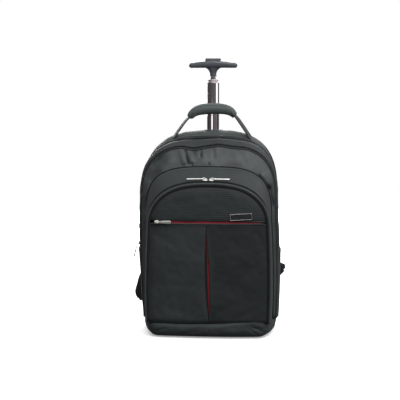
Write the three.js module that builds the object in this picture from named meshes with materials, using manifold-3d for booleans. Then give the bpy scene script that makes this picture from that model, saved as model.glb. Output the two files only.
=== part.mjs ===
// A wheeled backpack with a telescopic T-handle, in millimetres.
// +Z is up, -Y is the front with the organiser pocket, and +Y is the back with the shoulder straps.
// The origin is on the floor, under the middle of the base.
import * as THREE from "three";
import { mergeVertices } from "three/addons/utils/BufferGeometryUtils.js";
import Module from "manifold-3d";

const wasm = await Module();
wasm.setup();

// Driving sizes.
const GAP = 0.3; // between pieces that are sewn or fixed together
const BAG_WIDTH = 317;
const BAG_HEIGHT = 461;
const BAG_DEPTH = 190; // from the back seam to the front seam, at the foot
const BACK_Y = 88; // the back seam
const SEAM_Z = 34; // the seam between the panels and the base
const FABRIC = 2;
const PIPING_RADIUS = 2.3;

// The seam loops, from the back forwards. Widths are shares of half the bag's width, heights of its
// height, and places of its depth, forwards from the back seam. curve is the arch's exponent, and lean
// is how far the soft loop sags towards -X, as a share of half the bag's width.
const BELLY_HEIGHT = 0.24;
const SEAMS = {
  back: {
    foot: 0.95, belly: 0.975, shoulder: 0.97, shoulderZ: 0.65, topZ: 0.985,
    footY: 0, topY: 0, curve: 2.8, lean: 0.044,
  },
  rear: {
    foot: 0.955, belly: 0.985, shoulder: 0.98, shoulderZ: 0.645, topZ: 0.965,
    footY: 0.279, topY: 0.279, curve: 3, lean: 0.044,
  },
  main: {
    foot: 0.945, belly: 0.965, shoulder: 0.96, shoulderZ: 0.625, topZ: 0.921,
    footY: 0.64, topY: 0.51, curve: 3.1, lean: 0.032,
  },
  pocketBack: {
    foot: 0.885, belly: 0.9, shoulder: 0.88, shoulderZ: 0.57, topZ: 0.818,
    footY: 0.8, topY: 0.7, curve: 3.3, lean: 0.02,
  },
  pocketFront: {
    foot: 0.84, belly: 0.85, shoulder: 0.83, shoulderZ: 0.52, topZ: 0.736,
    footY: 1.0, topY: 0.93, curve: 2.5, lean: 0,
  },
};
const SIDE_STEPS = 4;
const ARCH_STEPS = 9;
// The two sides' arches end at this angle, and the top is flat between them.
const ARCH_END = THREE.MathUtils.degToRad(88);

// How far the gussets stand out at the bag's sides and top, and how far the panels do, in millimetres.
const GUSSET_CROWN = {
  rear: { side: 3, top: 10 },
  main: { side: 3, top: 3 },
  pocket: { side: 3, top: 3 },
};
const MAIN_CROWN = 26;
const FRONT_CROWN = 9;
const BACK_PAD = 8;

// The sags in the top of the main panel's seam: places are shares of half the bag's width.
const SEAM_SAGS = [
  { x: -0.21, reach: 0.16, drop: 10 },
  { x: 0.34, reach: 0.14, drop: 4 },
];
// The creases that hang from it: widths and depths in millimetres, heights as shares of the bag's height.
const CREASES = [
  { x: -0.28, bottom: 0.83, top: 0.9, width: 12, depth: 5 },
  { x: 0.3, bottom: 0.84, top: 0.91, width: 14, depth: 3 },
];

// The front panel's openings.
const SLIT_Z = 0.564 * BAG_HEIGHT;
const SLIT_HEIGHT = 6;
const SLIT_MARGIN = 12; // from the slit's ends to the panel's edges
const PLEAT_TOP = SLIT_Z - 10;
const PLEAT_BOTTOM = SEAM_Z + 12;
const PLEAT_WIDTH = 9;
const LINING_THICK = 1;
const LINING_OVERLAP = 5; // behind the panels, past the opening
const LINING_DROP = 0.5; // behind the panels' inner face
const BADGE = { width: 50, height: 15.5, thick: 1.6, x: 0.2335 * BAG_WIDTH, aboveSlit: 12.5, turn: 0.05 };

// The base.
const TRAY_WALL = 3;
const TRAY_CORNER = 18;
const TRAY_LEVELS = [
  { z: 0, inset: 18 },
  { z: 4, inset: 9 },
  { z: 13, inset: 3 },
  { z: SEAM_Z, inset: 0 },
];
const CHASSIS = { margin: 16.5, bottom: 3, top: 75, depth: 44, wall: 3 };
const WHEEL = { radius: 31, width: 22, inset: 20, setback: 13, axle: 3, hub: 19 };
const WELL_CLEARANCE = 3.5;
const RUNNING_FIT = 0.1;

// The trolley pole. Each tube is an oval: wide along X, deep along Y.
const POLE_Y = 74;
const SLEEVE = { wide: 32.4, deep: 23.2, wall: 1.6 };
// A rise is measured from the piece below, and inside is how far a tube reaches into that piece.
const STAGE = { wide: 28.2, deep: 19, wall: 1.4, inside: 211, rise: 110 };
const INNER_TUBE = { radius: 5.8, wall: 1.2, inside: 281 };
const COLLAR = { wide: 25, deep: 17, height: 7, lip: 2, plug: 18 };
const BEZEL = { wide: 42, deep: 26.6, drop: 2, rise: 2.5, skirt: 20 };
const NECK = { rise: 14, height: 20.5, radius: 7.2, rim: 8.2, flare: 9, flareHalf: 17 };
const TEE = { width: 114, thick: 15.5, depth: 24, endHeight: 10.5 };
const BUTTON = { wide: 36, deep: 13, rise: 6, sunk: 4.5, travel: 4 };
const stageTop = BAG_HEIGHT + STAGE.rise;
const neckBottom = stageTop + NECK.rise;
const teeBottom = neckBottom + NECK.height;
const teeTop = teeBottom + TEE.thick;
const buttonTop = teeTop + BUTTON.rise;

// The carrying handle.
const HANDLE_Y = 48;
const HANDLE_FOOT = 0.278 * BAG_WIDTH; // half the distance between its ends
const HANDLE_DROP = 32; // from the bag's top to its ends
const WEBBING = { width: 20, thick: 3.5 };
const GRIP = { half: 57, rise: 61, high: 27, depth: 26, droop: 21 };

// The zips. Each runs on a gusset, at a share of its depth, up from one height, over the top and down again.
const ZIP_WIDTH = 11;
const ZIP_THICK = 1.4;
const ZIPS = {
  zip_rear_compartment: { from: "rear", to: "main", at: 0.16, end: 0.4685 * BAG_HEIGHT },
  zip_main_compartment: { from: "rear", to: "main", at: 0.84, end: 0.421 * BAG_HEIGHT },
  zip_organiser: { from: "pocketBack", to: "pocketFront", at: 0.8, end: SEAM_Z + 28 },
};
// Where the side zips' sliders stand above the zips' left ends, and the angles of their pulls, in radians.
const SIDE_SLIDERS = {
  rear_compartment: { above: 22, lift: 0.5 },
  main_compartment: { above: 10, lift: 0.12 },
};
const ORGANISER_SLIDERS = { left: 0.488, right: 0.512 }; // shares of the way along the zip
const SLIT_SLIDER = 16; // from the panel's edge
const SLIDER = { long: 10, wide: 8, high: 3.6, bail: 0.8, bailReach: 3, bailTop: 8.6 };
const PULL = { long: 38, wide: 3.4, thick: 1.2, ring: 3.3, hole: 2.1 };
const TAB = { long: 30, wide: 7.4, thick: 1.6 };

// The side pockets.
const SIDE_POCKET = { top: 0.408 * BAG_HEIGHT, back: 0.05, front: 0.95, crown: 4, lift: 0.9 };

// The shoulder straps: a row for each station down the pad, from the yoke. x is a share of half the bag's
// width and z of its height, y is behind the back panel, and half is half the pad's width.
const STRAP_THICK = 11;
const STRAPS = {
  left: [
    { x: -0.29, z: 0.95, y: 0.5, half: 24 },
    { x: -0.328, z: 0.868, y: 4, half: 28 },
    { x: -0.429, z: 0.716, y: 10, half: 30 },
    { x: -0.618, z: 0.51, y: 13, half: 31 },
    { x: -0.808, z: 0.336, y: 12, half: 31 },
    { x: -0.953, z: 0.213, y: 10, half: 32 },
    { x: -1.022, z: 0.143, y: 9, half: 28 },
    { x: -1.016, z: 0.095, y: 9, half: 17 },
  ],
  right: [
    { x: 0.29, z: 0.95, y: 0.5, half: 24 },
    { x: 0.328, z: 0.868, y: 4, half: 28 },
    { x: 0.404, z: 0.716, y: 10, half: 30 },
    { x: 0.53, z: 0.521, y: 13, half: 31 },
    { x: 0.65, z: 0.336, y: 12, half: 31 },
    { x: 0.713, z: 0.217, y: 10, half: 29 },
    { x: 0.738, z: 0.165, y: 9, half: 18 },
  ],
};
const LOWER_WEBBING = { width: 25, thick: 1.6 };
const WING = { z: 0.293 * BAG_HEIGHT, half: 27, tip: 5, thick: 2, inboard: 0.385 * BAG_WIDTH };
const WING_REACH = { left: 0.4985 * BAG_WIDTH, right: 0.5395 * BAG_WIDTH };
const PAST = 10; // how far a cutting tool reaches past what it cuts

// Colours, roughness and metalness.
const MATERIALS = {
  twill: { color: 0x2f3536, roughness: 0.72, metalness: 0 },
  satin: { color: 0x4a4f51, roughness: 0.5, metalness: 0 },
  black: { color: 0x16181a, roughness: 0.8, metalness: 0 },
  red: { color: 0x8e1420, roughness: 0.55, metalness: 0 },
  plastic: { color: 0x2b2e33, roughness: 0.45, metalness: 0 },
  rubber: { color: 0x1a1b1c, roughness: 0.85, metalness: 0 },
  chrome: { color: 0xb9b9bd, roughness: 0.12, metalness: 1 },
  nickel: { color: 0xc9c7c0, roughness: 0.25, metalness: 1 },
  enamel: { color: 0x101214, roughness: 0.2, metalness: 0.3 },
};

const { lerp, smoothstep } = THREE.MathUtils;
const vec = (x, y, z) => new THREE.Vector3(x, y, z);
const bag = new THREE.Group();

function place(name, geometry, material, parent = bag) {
  const mesh = new THREE.Mesh(geometry, new THREE.MeshStandardMaterial(MATERIALS[material]));
  mesh.name = name;
  parent.add(mesh);
  return mesh;
}

// Joining and cutting.
function toSolid(geometry) {
  const plain = new THREE.BufferGeometry();
  const source = geometry.index ? geometry.toNonIndexed() : geometry;
  plain.setAttribute("position", source.getAttribute("position"));
  const merged = mergeVertices(plain, 1e-3);
  return new wasm.Manifold(
    new wasm.Mesh({
      numProp: 3,
      vertProperties: merged.attributes.position.array,
      triVerts: new Uint32Array(merged.index.array),
    }),
  );
}

function toGeometry(solid) {
  const mesh = solid.getMesh();
  const geometry = new THREE.BufferGeometry();
  geometry.setAttribute("position", new THREE.BufferAttribute(new Float32Array(mesh.vertProperties), 3));
  geometry.setIndex(new THREE.BufferAttribute(new Uint32Array(mesh.triVerts), 1));
  return geometry;
}

function join(...geometries) {
  return toGeometry(geometries.map(toSolid).reduce((whole, next) => whole.add(next)));
}

function cut(geometry, ...tools) {
  return toGeometry(tools.map(toSolid).reduce((whole, tool) => whole.subtract(tool), toSolid(geometry)));
}

function common(geometry, tool) {
  return toGeometry(toSolid(geometry).intersect(toSolid(tool)));
}

// A box between two corners.
function boxBetween(low, high) {
  const size = high.clone().sub(low);
  const centre = high.clone().add(low).multiplyScalar(0.5);
  return new THREE.BoxGeometry(size.x, size.y, size.z).translate(centre.x, centre.y, centre.z);
}

function cylinderAlongX(radius, fromX, toX, y, z, sides = 20) {
  const long = Math.abs(toX - fromX);
  return new THREE.CylinderGeometry(radius, radius, long, sides)
    .rotateZ(Math.PI / 2)
    .translate((fromX + toX) / 2, y, z);
}

// A front-view outline made solid along Y, about the plane y.
function extrudeFront(shape, depth, y, bevel = 0, curveSegments = 6) {
  const options = {
    depth: depth - 2 * bevel,
    curveSegments,
    bevelEnabled: bevel > 0,
    bevelThickness: bevel,
    bevelSize: bevel,
    bevelOffset: -bevel,
    bevelSegments: 2,
  };
  const solid = new THREE.ExtrudeGeometry(shape, options).rotateX(Math.PI / 2);
  return solid.translate(0, y + depth / 2 - bevel, 0);
}

// An upright oval bar, or a tube if it has a wall.
function ovalTube(wide, deep, bottom, top, wall = 0, y = POLE_Y) {
  const shape = new THREE.Shape();
  shape.absellipse(0, 0, wide / 2, deep / 2, 0, 2 * Math.PI);
  if (wall > 0) {
    const hole = new THREE.Path();
    hole.absellipse(0, 0, wide / 2 - wall, deep / 2 - wall, 0, 2 * Math.PI);
    shape.holes.push(hole);
  }
  const options = { depth: top - bottom, bevelEnabled: false, curveSegments: 12 };
  return new THREE.ExtrudeGeometry(shape, options).translate(0, y, bottom);
}

// A closed solid between two grids of points of the same size, grid[row][column].
// With wrap, each row is a closed ring.
function slab(outer, inner, wrap = false) {
  const rows = outer.length;
  const columns = outer[0].length;
  const points = [...outer.flat(), ...inner.flat()];
  const index = [];
  const at = (side, row, column) => side * rows * columns + row * columns + (column % columns);
  const quad = (a, b, c, d) => index.push(a, b, c, a, c, d);
  const spans = wrap ? columns : columns - 1;
  for (let row = 0; row < rows - 1; row++)
    for (let column = 0; column < spans; column++) {
      quad(at(0, row, column), at(0, row, column + 1), at(0, row + 1, column + 1), at(0, row + 1, column));
      quad(at(1, row, column), at(1, row + 1, column), at(1, row + 1, column + 1), at(1, row, column + 1));
    }
  for (let column = 0; column < spans; column++) {
    const last = rows - 1;
    quad(at(0, 0, column), at(1, 0, column), at(1, 0, column + 1), at(0, 0, column + 1));
    quad(at(0, last, column), at(0, last, column + 1), at(1, last, column + 1), at(1, last, column));
  }
  if (!wrap)
    for (let row = 0; row < rows - 1; row++) {
      const last = columns - 1;
      quad(at(0, row, 0), at(0, row + 1, 0), at(1, row + 1, 0), at(1, row, 0));
      quad(at(0, row, last), at(1, row, last), at(1, row + 1, last), at(0, row + 1, last));
    }
  return facingOut(points, index);
}

// A solid through a stack of closed rings, capped at both ends.
function stack(rings) {
  const count = rings[0].length;
  const index = [];
  for (let ring = 0; ring < rings.length - 1; ring++)
    for (let i = 0; i < count; i++) {
      const [a, b] = [ring * count + i, ring * count + ((i + 1) % count)];
      index.push(a, b, b + count, a, b + count, a + count);
    }
  const cap = (ring, flip) => {
    const flat = rings[ring].map((p) => new THREE.Vector2(p.x, p.y));
    for (const [a, b, c] of THREE.ShapeUtils.triangulateShape(flat, []))
      index.push(...[a, flip ? c : b, flip ? b : c].map((i) => ring * count + i));
  };
  cap(0, true);
  cap(rings.length - 1, false);
  return facingOut(rings.flat(), index);
}

// The mesh of these points and triangles, turned round if its faces point inwards.
function facingOut(points, index) {
  let volume = 0;
  for (let i = 0; i < index.length; i += 3) {
    const [a, b, c] = [points[index[i]], points[index[i + 1]], points[index[i + 2]]];
    volume += a.dot(b.clone().cross(c));
  }
  const order = volume < 0 ? index.slice().reverse() : index;
  const geometry = new THREE.BufferGeometry().setFromPoints(points);
  geometry.setIndex(order);
  return geometry;
}

// The seam loops.
const halfWidthOf = (share) => (share * BAG_WIDTH) / 2;

// Half the width of a seam loop at a height.
function halfWidthAt(seam, z, inset = 0) {
  const s = SEAMS[seam];
  const shoulder = s.shoulderZ * BAG_HEIGHT;
  const rise = s.topZ * BAG_HEIGHT - shoulder - inset;
  if (z >= shoulder) {
    const share = Math.min((z - shoulder) / rise, 1);
    return (halfWidthOf(s.shoulder) - inset) * (1 - share ** s.curve) ** (1 / s.curve);
  }
  const belly = BELLY_HEIGHT * BAG_HEIGHT;
  const [f, b, t] = [SEAM_Z, belly, shoulder];
  const foot = (halfWidthOf(s.foot) * (z - b) * (z - t)) / ((f - b) * (f - t));
  const middle = (halfWidthOf(s.belly) * (z - f) * (z - t)) / ((b - f) * (b - t));
  const upper = (halfWidthOf(s.shoulder) * (z - f) * (z - b)) / ((t - f) * (t - b));
  return foot + middle + upper - inset;
}

// The place in depth of a seam loop at a height.
function seamY(seam, z) {
  const s = SEAMS[seam];
  const share = lerp(s.footY, s.topY, z / (s.topZ * BAG_HEIGHT));
  return BACK_Y - share * BAG_DEPTH;
}

// How far a seam loop's middle is from the bag's at a height.
function leanAt(seam, z) {
  return -halfWidthOf(SEAMS[seam].lean) * Math.sin(Math.PI * (z / BAG_HEIGHT) ** 1.8);
}

function sagAt(x) {
  const share = x / (BAG_WIDTH / 2);
  const drops = SEAM_SAGS.map((s) => s.drop * Math.exp(-(((share - s.x) / s.reach) ** 2)));
  return drops.reduce((total, drop) => total + drop, 0);
}

// The right half of a seam loop from its foot to its top, as [half width, height].
function halfLoop(seam, inset = 0, topInset = inset, foot = SEAM_Z + GAP) {
  const s = SEAMS[seam];
  const shoulder = s.shoulderZ * BAG_HEIGHT;
  const rise = s.topZ * BAG_HEIGHT - shoulder - topInset;
  const points = [];
  for (let i = 0; i < SIDE_STEPS; i++) {
    const z = lerp(foot, shoulder, i / SIDE_STEPS);
    points.push([halfWidthAt(seam, z, inset), z]);
  }
  for (let i = 0; i <= ARCH_STEPS; i++) {
    const angle = (ARCH_END * i) / ARCH_STEPS;
    const power = 2 / s.curve;
    const reach = (halfWidthOf(s.shoulder) - inset) * Math.cos(angle) ** power;
    points.push([reach, shoulder + rise * (Math.sin(angle) / Math.sin(ARCH_END)) ** power]);
  }
  return points;
}

// A whole seam loop, from the left foot over the top to the right foot.
function seamLoop(seam, inset = 0, topInset = inset) {
  const half = halfLoop(seam, inset, topInset);
  const top = half.at(-1)[1];
  const point = (x, z) => {
    const shoulder = SEAMS[seam].shoulderZ * BAG_HEIGHT;
    const drop = seam === "main" ? sagAt(x) * smoothstep(z, shoulder, top) : 0;
    return vec(x + leanAt(seam, z), seamY(seam, z - drop), z - drop);
  };
  return [...half.map(([x, z]) => point(-x, z)), ...half.reverse().map(([x, z]) => point(x, z))];
}

function mixLoops(a, b, share) {
  return a.map((point, i) => point.clone().lerp(b[i], share));
}

// A row of points on a gusset, at a share of the way from one seam to the other, lifted off its face.
function gussetRow(from, to, share, crown, lift = 0) {
  const bulge = Math.sin(Math.PI * share);
  const [out, up] = [crown.side * bulge + lift, crown.top * bulge + lift];
  return mixLoops(loopOf(from, -out, -up), loopOf(to, -out, -up), share);
}

// A seam loop. The organiser's back one lies on the main panel, clear of it between the points too.
function loopOf(seam, inset, topInset) {
  const loop = seamLoop(seam, inset, topInset);
  if (seam !== "pocketBack") return loop;
  return loop.map((p, i) => {
    const beside = [loop[Math.max(i - 1, 0)], loop[Math.min(i + 1, loop.length - 1)]];
    const near = [p, ...beside.map((q) => p.clone().lerp(q, 0.5))];
    const y = Math.min(...near.map((q) => mainPanelY(q.x, q.z)));
    return vec(p.x, y - FABRIC - 2 * GAP, p.z);
  });
}

function gusset(from, to, crown, rows = 3) {
  const trim = GAP / 40;
  const shares = even(rows).map((share) => lerp(trim, 1 - trim, share));
  return slab(
    shares.map((share) => gussetRow(from, to, share, crown)),
    shares.map((share) => gussetRow(from, to, share, crown, -FABRIC)),
  );
}

function topOf(seam) {
  return SEAMS[seam].topZ * BAG_HEIGHT;
}

// Half the width inside a seam loop at a height, between the loop's own points.
function edgeOf(seam) {
  const half = halfLoop(seam);
  return (z) => {
    const i = Math.max(half.findLastIndex(([, height]) => height <= z), 0);
    const [[x0, z0], [x1, z1]] = [half[i], half[Math.min(i + 1, half.length - 1)]];
    return z1 > z0 ? lerp(x0, x1, (z - z0) / (z1 - z0)) : x1;
  };
}

// The main front panel is drawn in rings that shrink to its middle.
const mainMiddle = (SEAM_Z + topOf("main")) / 2;
const mainRing = [
  ...seamLoop("main"),
  ...[0.6, 0.2, -0.2, -0.6].map((share) => {
    const z = SEAM_Z + GAP;
    return vec(share * halfWidthAt("main", z), seamY("main", z), z);
  }),
];

// How far out a point of the main panel is: 0 in the middle and 1 at the seam.
function shareOut(x, z) {
  const [dx, dz] = [x, z - mainMiddle];
  let out = 0;
  mainRing.forEach((p, i) => {
    const q = mainRing[(i + 1) % mainRing.length];
    const [ex, ez] = [q.x - p.x, q.z - p.z];
    const area = dx * ez - dz * ex;
    if (Math.abs(area) < 1e-9) return;
    const far = (p.x * ez - (p.z - mainMiddle) * ex) / area;
    const along = (p.x * dz - (p.z - mainMiddle) * dx) / area;
    if (far > 0 && along >= -1e-9 && along <= 1 + 1e-9) out = Math.max(out, 1 / far);
  });
  return Math.min(out, 1);
}

function creaseAt(x, z) {
  const depths = CREASES.map((c) => {
    const across = Math.exp(-(((x - (c.x * BAG_WIDTH) / 2) / c.width) ** 2));
    const low = smoothstep(z, (c.bottom - 0.03) * BAG_HEIGHT, c.bottom * BAG_HEIGHT);
    const high = 1 - smoothstep(z, c.top * BAG_HEIGHT, (c.top + 0.02) * BAG_HEIGHT);
    return c.depth * across * low * high;
  });
  return depths.reduce((total, depth) => total + depth, 0);
}

// The inner face of the main front panel.
function mainPanelY(x, z) {
  const stand = MAIN_CROWN - creaseAt(x, z);
  return seamY("main", z) - GAP - stand * (1 - shareOut(x, z) ** 9);
}

// The inner face of the organiser's front panel.
function frontPanelY(x, z) {
  const half = halfWidthAt("pocketFront", Math.min(z, topOf("pocketFront") * 0.999));
  const across = Math.min(Math.abs(x) / Math.max(half, 1), 1);
  const up = THREE.MathUtils.clamp((z - SEAM_Z) / (topOf("pocketFront") - SEAM_Z), 0, 1);
  return seamY("pocketFront", z) - GAP - FRONT_CROWN * (1 - across ** 3) * (1 - up ** 5);
}

// The heights of a seam loop's points between two heights, with both ends.
function heightsBetween(seam, low, high) {
  const inside = halfLoop(seam).map(([, z]) => z).filter((z) => z > low + 2 && z < high - 0.1);
  return [low, ...inside, high];
}

const even = (count) => Array.from({ length: count + 1 }, (_, i) => i / count);

// A panel between two heights, whose rows run between two edges given as functions of height.
function panel(face, heights, left, right, columns, thick) {
  const grid = (offset) =>
    heights.map((z) =>
      columns.map((share) => {
        const x = lerp(left(z), right(z), share);
        return vec(x, face(x, z) + offset, z);
      }),
    );
  return slab(grid(-thick), grid(0));
}

// A panel of rings about a middle point.
function shield(ring, middle, scales, face, thick) {
  const points = [];
  const index = [];
  const count = ring.length;
  const side = scales.length * count + 1;
  for (const offset of [-thick, 0]) {
    for (const scale of scales)
      for (const p of ring) {
        const [x, z] = [p.x * scale, middle + (p.z - middle) * scale];
        points.push(vec(x, face(x, z) + offset, z));
      }
    points.push(vec(0, face(0, middle) + offset, middle));
  }
  const last = scales.length - 1;
  for (let i = 0; i < count; i++) {
    const next = (i + 1) % count;
    for (let row = 0; row < last; row++) {
      const [a, b] = [row * count + i, row * count + next];
      index.push(a, b + count, b, a, a + count, b + count);
      index.push(side + a, side + b, side + b + count, side + a, side + b + count, side + a + count);
    }
    index.push(last * count + i, side - 1, last * count + next);
    index.push(side + last * count + i, side + last * count + next, 2 * side - 1);
    index.push(i, next, side + next, i, side + next, side + i);
  }
  return facingOut(points, index);
}

// The wall envelopes that other pieces are cut to.
function envelope(from, to, crown, lift) {
  const deep = 60;
  const shares = even(4);
  return slab(
    shares.map((share) => gussetRow(from, to, share, crown, lift)),
    shares.map((share) => gussetRow(from, to, share, crown, -deep)),
  );
}

// Shell pieces.
const chassisBack = BACK_Y + BACK_PAD;
const chassisFront = chassisBack - CHASSIS.depth;
const chassisHalf = BAG_WIDTH / 2 - CHASSIS.margin;
const wheelX = chassisHalf - WHEEL.inset;

function addGussets() {
  const rear = gusset("back", "rear", GUSSET_CROWN.rear, 4);
  const top = topOf("rear");
  const hole = ovalTube(SLEEVE.wide + 2 * GAP, SLEEVE.deep + 2 * GAP, top - 2 * PAST, BAG_HEIGHT + PAST);
  place("rear_gusset", cut(rear, hole), "twill");
  place("main_gusset", gusset("rear", "main", GUSSET_CROWN.main), "twill");
  place("organiser_gusset", gusset("pocketBack", "pocketFront", GUSSET_CROWN.pocket), "twill");
}

function addMainPanel() {
  const scales = [1, 0.975, 0.93, 0.86, 0.76, 0.45];
  place("main_front_panel", shield(mainRing, mainMiddle, scales, mainPanelY, FABRIC), "satin");
}

// Half the pleat's mouth at a height.
function pleatHalf(z) {
  const share = THREE.MathUtils.clamp((z - PLEAT_BOTTOM) / (PLEAT_TOP - PLEAT_BOTTOM), 0, 1);
  return GAP / 2 + (PLEAT_WIDTH / 2) * Math.sin(Math.PI * share ** 0.8) ** 1.3;
}

function addFrontPanels() {
  const edge = edgeOf("pocketFront");
  const foot = SEAM_Z + GAP;
  const [slitLow, slitHigh] = [SLIT_Z - SLIT_HEIGHT / 2, SLIT_Z + SLIT_HEIGHT / 2];
  const upper = heightsBetween("pocketFront", slitHigh, topOf("pocketFront"));
  const lower = heightsBetween("pocketFront", foot, slitLow);
  const face = frontPanelY;
  place("front_panel_upper", panel(face, upper, (z) => -edge(z), edge, even(8), FABRIC), "twill");
  const [leftEdge, leftPleat] = [(z) => -edge(z), (z) => -pleatHalf(z)];
  place("front_panel_lower_left", panel(face, lower, leftEdge, leftPleat, even(5), FABRIC), "twill");
  place("front_panel_lower_right", panel(face, lower, pleatHalf, edge, even(5), FABRIC), "twill");

  const lining = (x, z) => frontPanelY(x, z) + FABRIC / 2 + LINING_DROP;
  const reach = (z) => edge(z) - SLIT_MARGIN;
  const slit = [slitLow - LINING_OVERLAP, slitHigh + LINING_OVERLAP];
  place("pocket_lining", panel(lining, slit, (z) => -reach(z), reach, even(8), LINING_THICK), "red");
  const insertTop = slit[0] - LINING_DROP - GAP;
  const insert = [0, 0.35, 0.7, 1].map((share) => lerp(PLEAT_BOTTOM, insertTop, share));
  const side = (way) => () => way * PLEAT_WIDTH;
  place("pleat_insert", panel(lining, insert, side(-1), side(1), even(2), LINING_THICK), "red");
}

function addBackPanel() {
  const edge = edgeOf("back");
  const heights = heightsBetween("back", SEAM_Z + GAP, topOf("back"));
  const face = () => BACK_Y + GAP + BACK_PAD;
  const side = (way) => (z) => leanAt("back", z) + way * edge(z);
  const whole = panel(face, heights, side(-1), side(1), [0, 1], BACK_PAD);
  const room = boxBetween(
    vec(-chassisHalf - GAP, BACK_Y - PAST, -PAST),
    vec(chassisHalf + GAP, chassisBack + PAST, CHASSIS.top + GAP),
  );
  place("back_panel", cut(whole, room), "black");
}

// The base tray's outline at an inset, with its back wall at a given place.
function trayRing(inset, backY, z) {
  const foot = (seam) => halfWidthOf(SEAMS[seam].foot) - inset;
  const y = (seam) => seamY(seam, SEAM_Z);
  const frontY = y("pocketFront") - GAP - FABRIC + inset;
  const front = foot("pocketFront");
  const shape = new THREE.Shape();
  shape.moveTo(-foot("rear"), backY);
  shape.lineTo(-foot("main"), y("main"));
  shape.lineTo(-front - TRAY_CORNER / 6, frontY + TRAY_CORNER);
  shape.quadraticCurveTo(-front, frontY, -front + TRAY_CORNER, frontY - FRONT_CROWN * 0.25);
  shape.quadraticCurveTo(0, frontY - FRONT_CROWN * 1.75, front - TRAY_CORNER, frontY - FRONT_CROWN * 0.25);
  shape.quadraticCurveTo(front, frontY, front + TRAY_CORNER / 6, frontY + TRAY_CORNER);
  shape.lineTo(foot("main"), y("main"));
  shape.lineTo(foot("rear"), backY);
  return shape.getPoints(6).map((p) => vec(p.x, p.y, z));
}

function addBaseTray() {
  const back = chassisFront - GAP;
  const outer = stack(TRAY_LEVELS.map(({ z, inset }) => trayRing(inset, back, z)));
  const hollow = stack(
    [
      { z: TRAY_WALL, inset: TRAY_LEVELS[1].inset + TRAY_WALL },
      { z: TRAY_LEVELS[2].z, inset: TRAY_LEVELS[2].inset + TRAY_WALL },
      { z: SEAM_Z + 1, inset: TRAY_WALL },
    ].map(({ z, inset }) => trayRing(inset, back - TRAY_WALL, z)),
  );
  place("base_tray", cut(outer, hollow), "twill");
}

// Piping: a bead round a seam loop, just outside it.
function piping(seam, y = 0, sides = 6) {
  const loop = seamLoop(seam, -(PIPING_RADIUS + GAP)).map((p) => p.setY(p.y + y));
  const rings = loop.map((centre, i) => {
    const along = loop[Math.min(i + 1, loop.length - 1)].clone().sub(loop[Math.max(i - 1, 0)]);
    const out = vec(-along.z, 0, along.x).normalize();
    return Array.from({ length: sides }, (_, side) => {
      const angle = (2 * Math.PI * side) / sides;
      const y = PIPING_RADIUS * Math.sin(angle);
      return centre.clone().addScaledVector(out, PIPING_RADIUS * Math.cos(angle)).add(vec(0, y, 0));
    });
  });
  return stackAlong(rings);
}

function addPiping() {
  const bead = PIPING_RADIUS + GAP;
  place("piping_back", piping("back", bead), "black");
  place("piping_rear", piping("rear"), "twill");
  place("piping_main", piping("main", -FABRIC / 2), "twill");
  place("piping_organiser", piping("pocketFront", -FABRIC), "twill");
}

// Zips and their sliders.
const crownOf = (zip) => (zip.from === "pocketBack" ? GUSSET_CROWN.pocket : GUSSET_CROWN.main);

function zipShare(zip) {
  const depth = seamY(zip.from, SEAM_Z) - seamY(zip.to, SEAM_Z);
  return ZIP_WIDTH / 2 / depth;
}

function zipStrip(zip) {
  const half = zipShare(zip);
  const row = (share, lift) => gussetRow(zip.from, zip.to, share, crownOf(zip), lift);
  const middle = row(zip.at, 0);
  const first = middle.findIndex((p) => p.z > zip.end);
  const last = middle.findLastIndex((p) => p.z > zip.end);
  const at = (low, high) => low.clone().lerp(high, (zip.end - low.z) / (high.z - low.z));
  const strip = (lift) =>
    [zip.at - half, zip.at + half].map((share) => {
      const loop = row(share, lift);
      const inside = loop.slice(first, last + 1);
      return [at(loop[first - 1], loop[first]), ...inside, at(loop[last + 1], loop[last])];
    });
  return slab(strip(2 * GAP + ZIP_THICK), strip(2 * GAP));
}

// Where a loop's left side reaches a height.
function shareAtHeight(curve, z) {
  let [low, high] = [0, 0.5];
  for (let i = 0; i < 30; i++) {
    const middle = (low + high) / 2;
    if (curve.getPoint(middle).z < z) low = middle;
    else high = middle;
  }
  return low;
}

// A group seated on a zip: its X runs along the zip, its Z out of the gusset.
function zipSeat(zip, share, backwards = false) {
  const row = (at, lift) => new THREE.CatmullRomCurve3(gussetRow(zip.from, zip.to, at, crownOf(zip), lift));
  const lift = 3 * GAP + ZIP_THICK;
  const curve = row(zip.at, lift);
  const along = curve.getTangent(share).multiplyScalar(backwards ? -1 : 1);
  const across = row(zip.at + 0.05, lift).getPoint(share).sub(row(zip.at - 0.05, lift).getPoint(share));
  const out = along.clone().cross(across).normalize();
  if (out.dot(curve.getPoint(share).sub(vec(0, 0, BAG_HEIGHT / 3)).setY(0)) < 0) out.negate();
  const side = out.clone().cross(along).normalize();
  const seat = new THREE.Group();
  seat.matrixAutoUpdate = false;
  seat.matrix.makeBasis(side.clone().cross(out).normalize(), side, out);
  seat.matrix.setPosition(curve.getPoint(share));
  bag.add(seat);
  return seat;
}

function sliderGeometry() {
  const { long, wide, high, bail, bailReach, bailTop } = SLIDER;
  const outline = new THREE.Shape();
  outline.moveTo(-long / 2, -wide / 3);
  outline.quadraticCurveTo(0, -wide * 0.62, long / 2, -wide / 3);
  outline.lineTo(long / 2, wide / 3);
  outline.quadraticCurveTo(0, wide * 0.62, -long / 2, wide / 3);
  const body = new THREE.ExtrudeGeometry(outline, { depth: high, bevelEnabled: false, curveSegments: 3 });
  const arch = new THREE.CatmullRomCurve3([
    vec(-bailReach, 0, high - 1),
    vec(-bailReach, 0, bailTop - 2),
    vec(0, 0, bailTop),
    vec(bailReach, 0, bailTop - 2),
    vec(bailReach, 0, high - 1),
  ]);
  const wire = new THREE.Shape().absarc(0, 0, bail, 0, 2 * Math.PI);
  return join(body, new THREE.ExtrudeGeometry(wire, { steps: 7, extrudePath: arch, curveSegments: 2 }));
}

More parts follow.
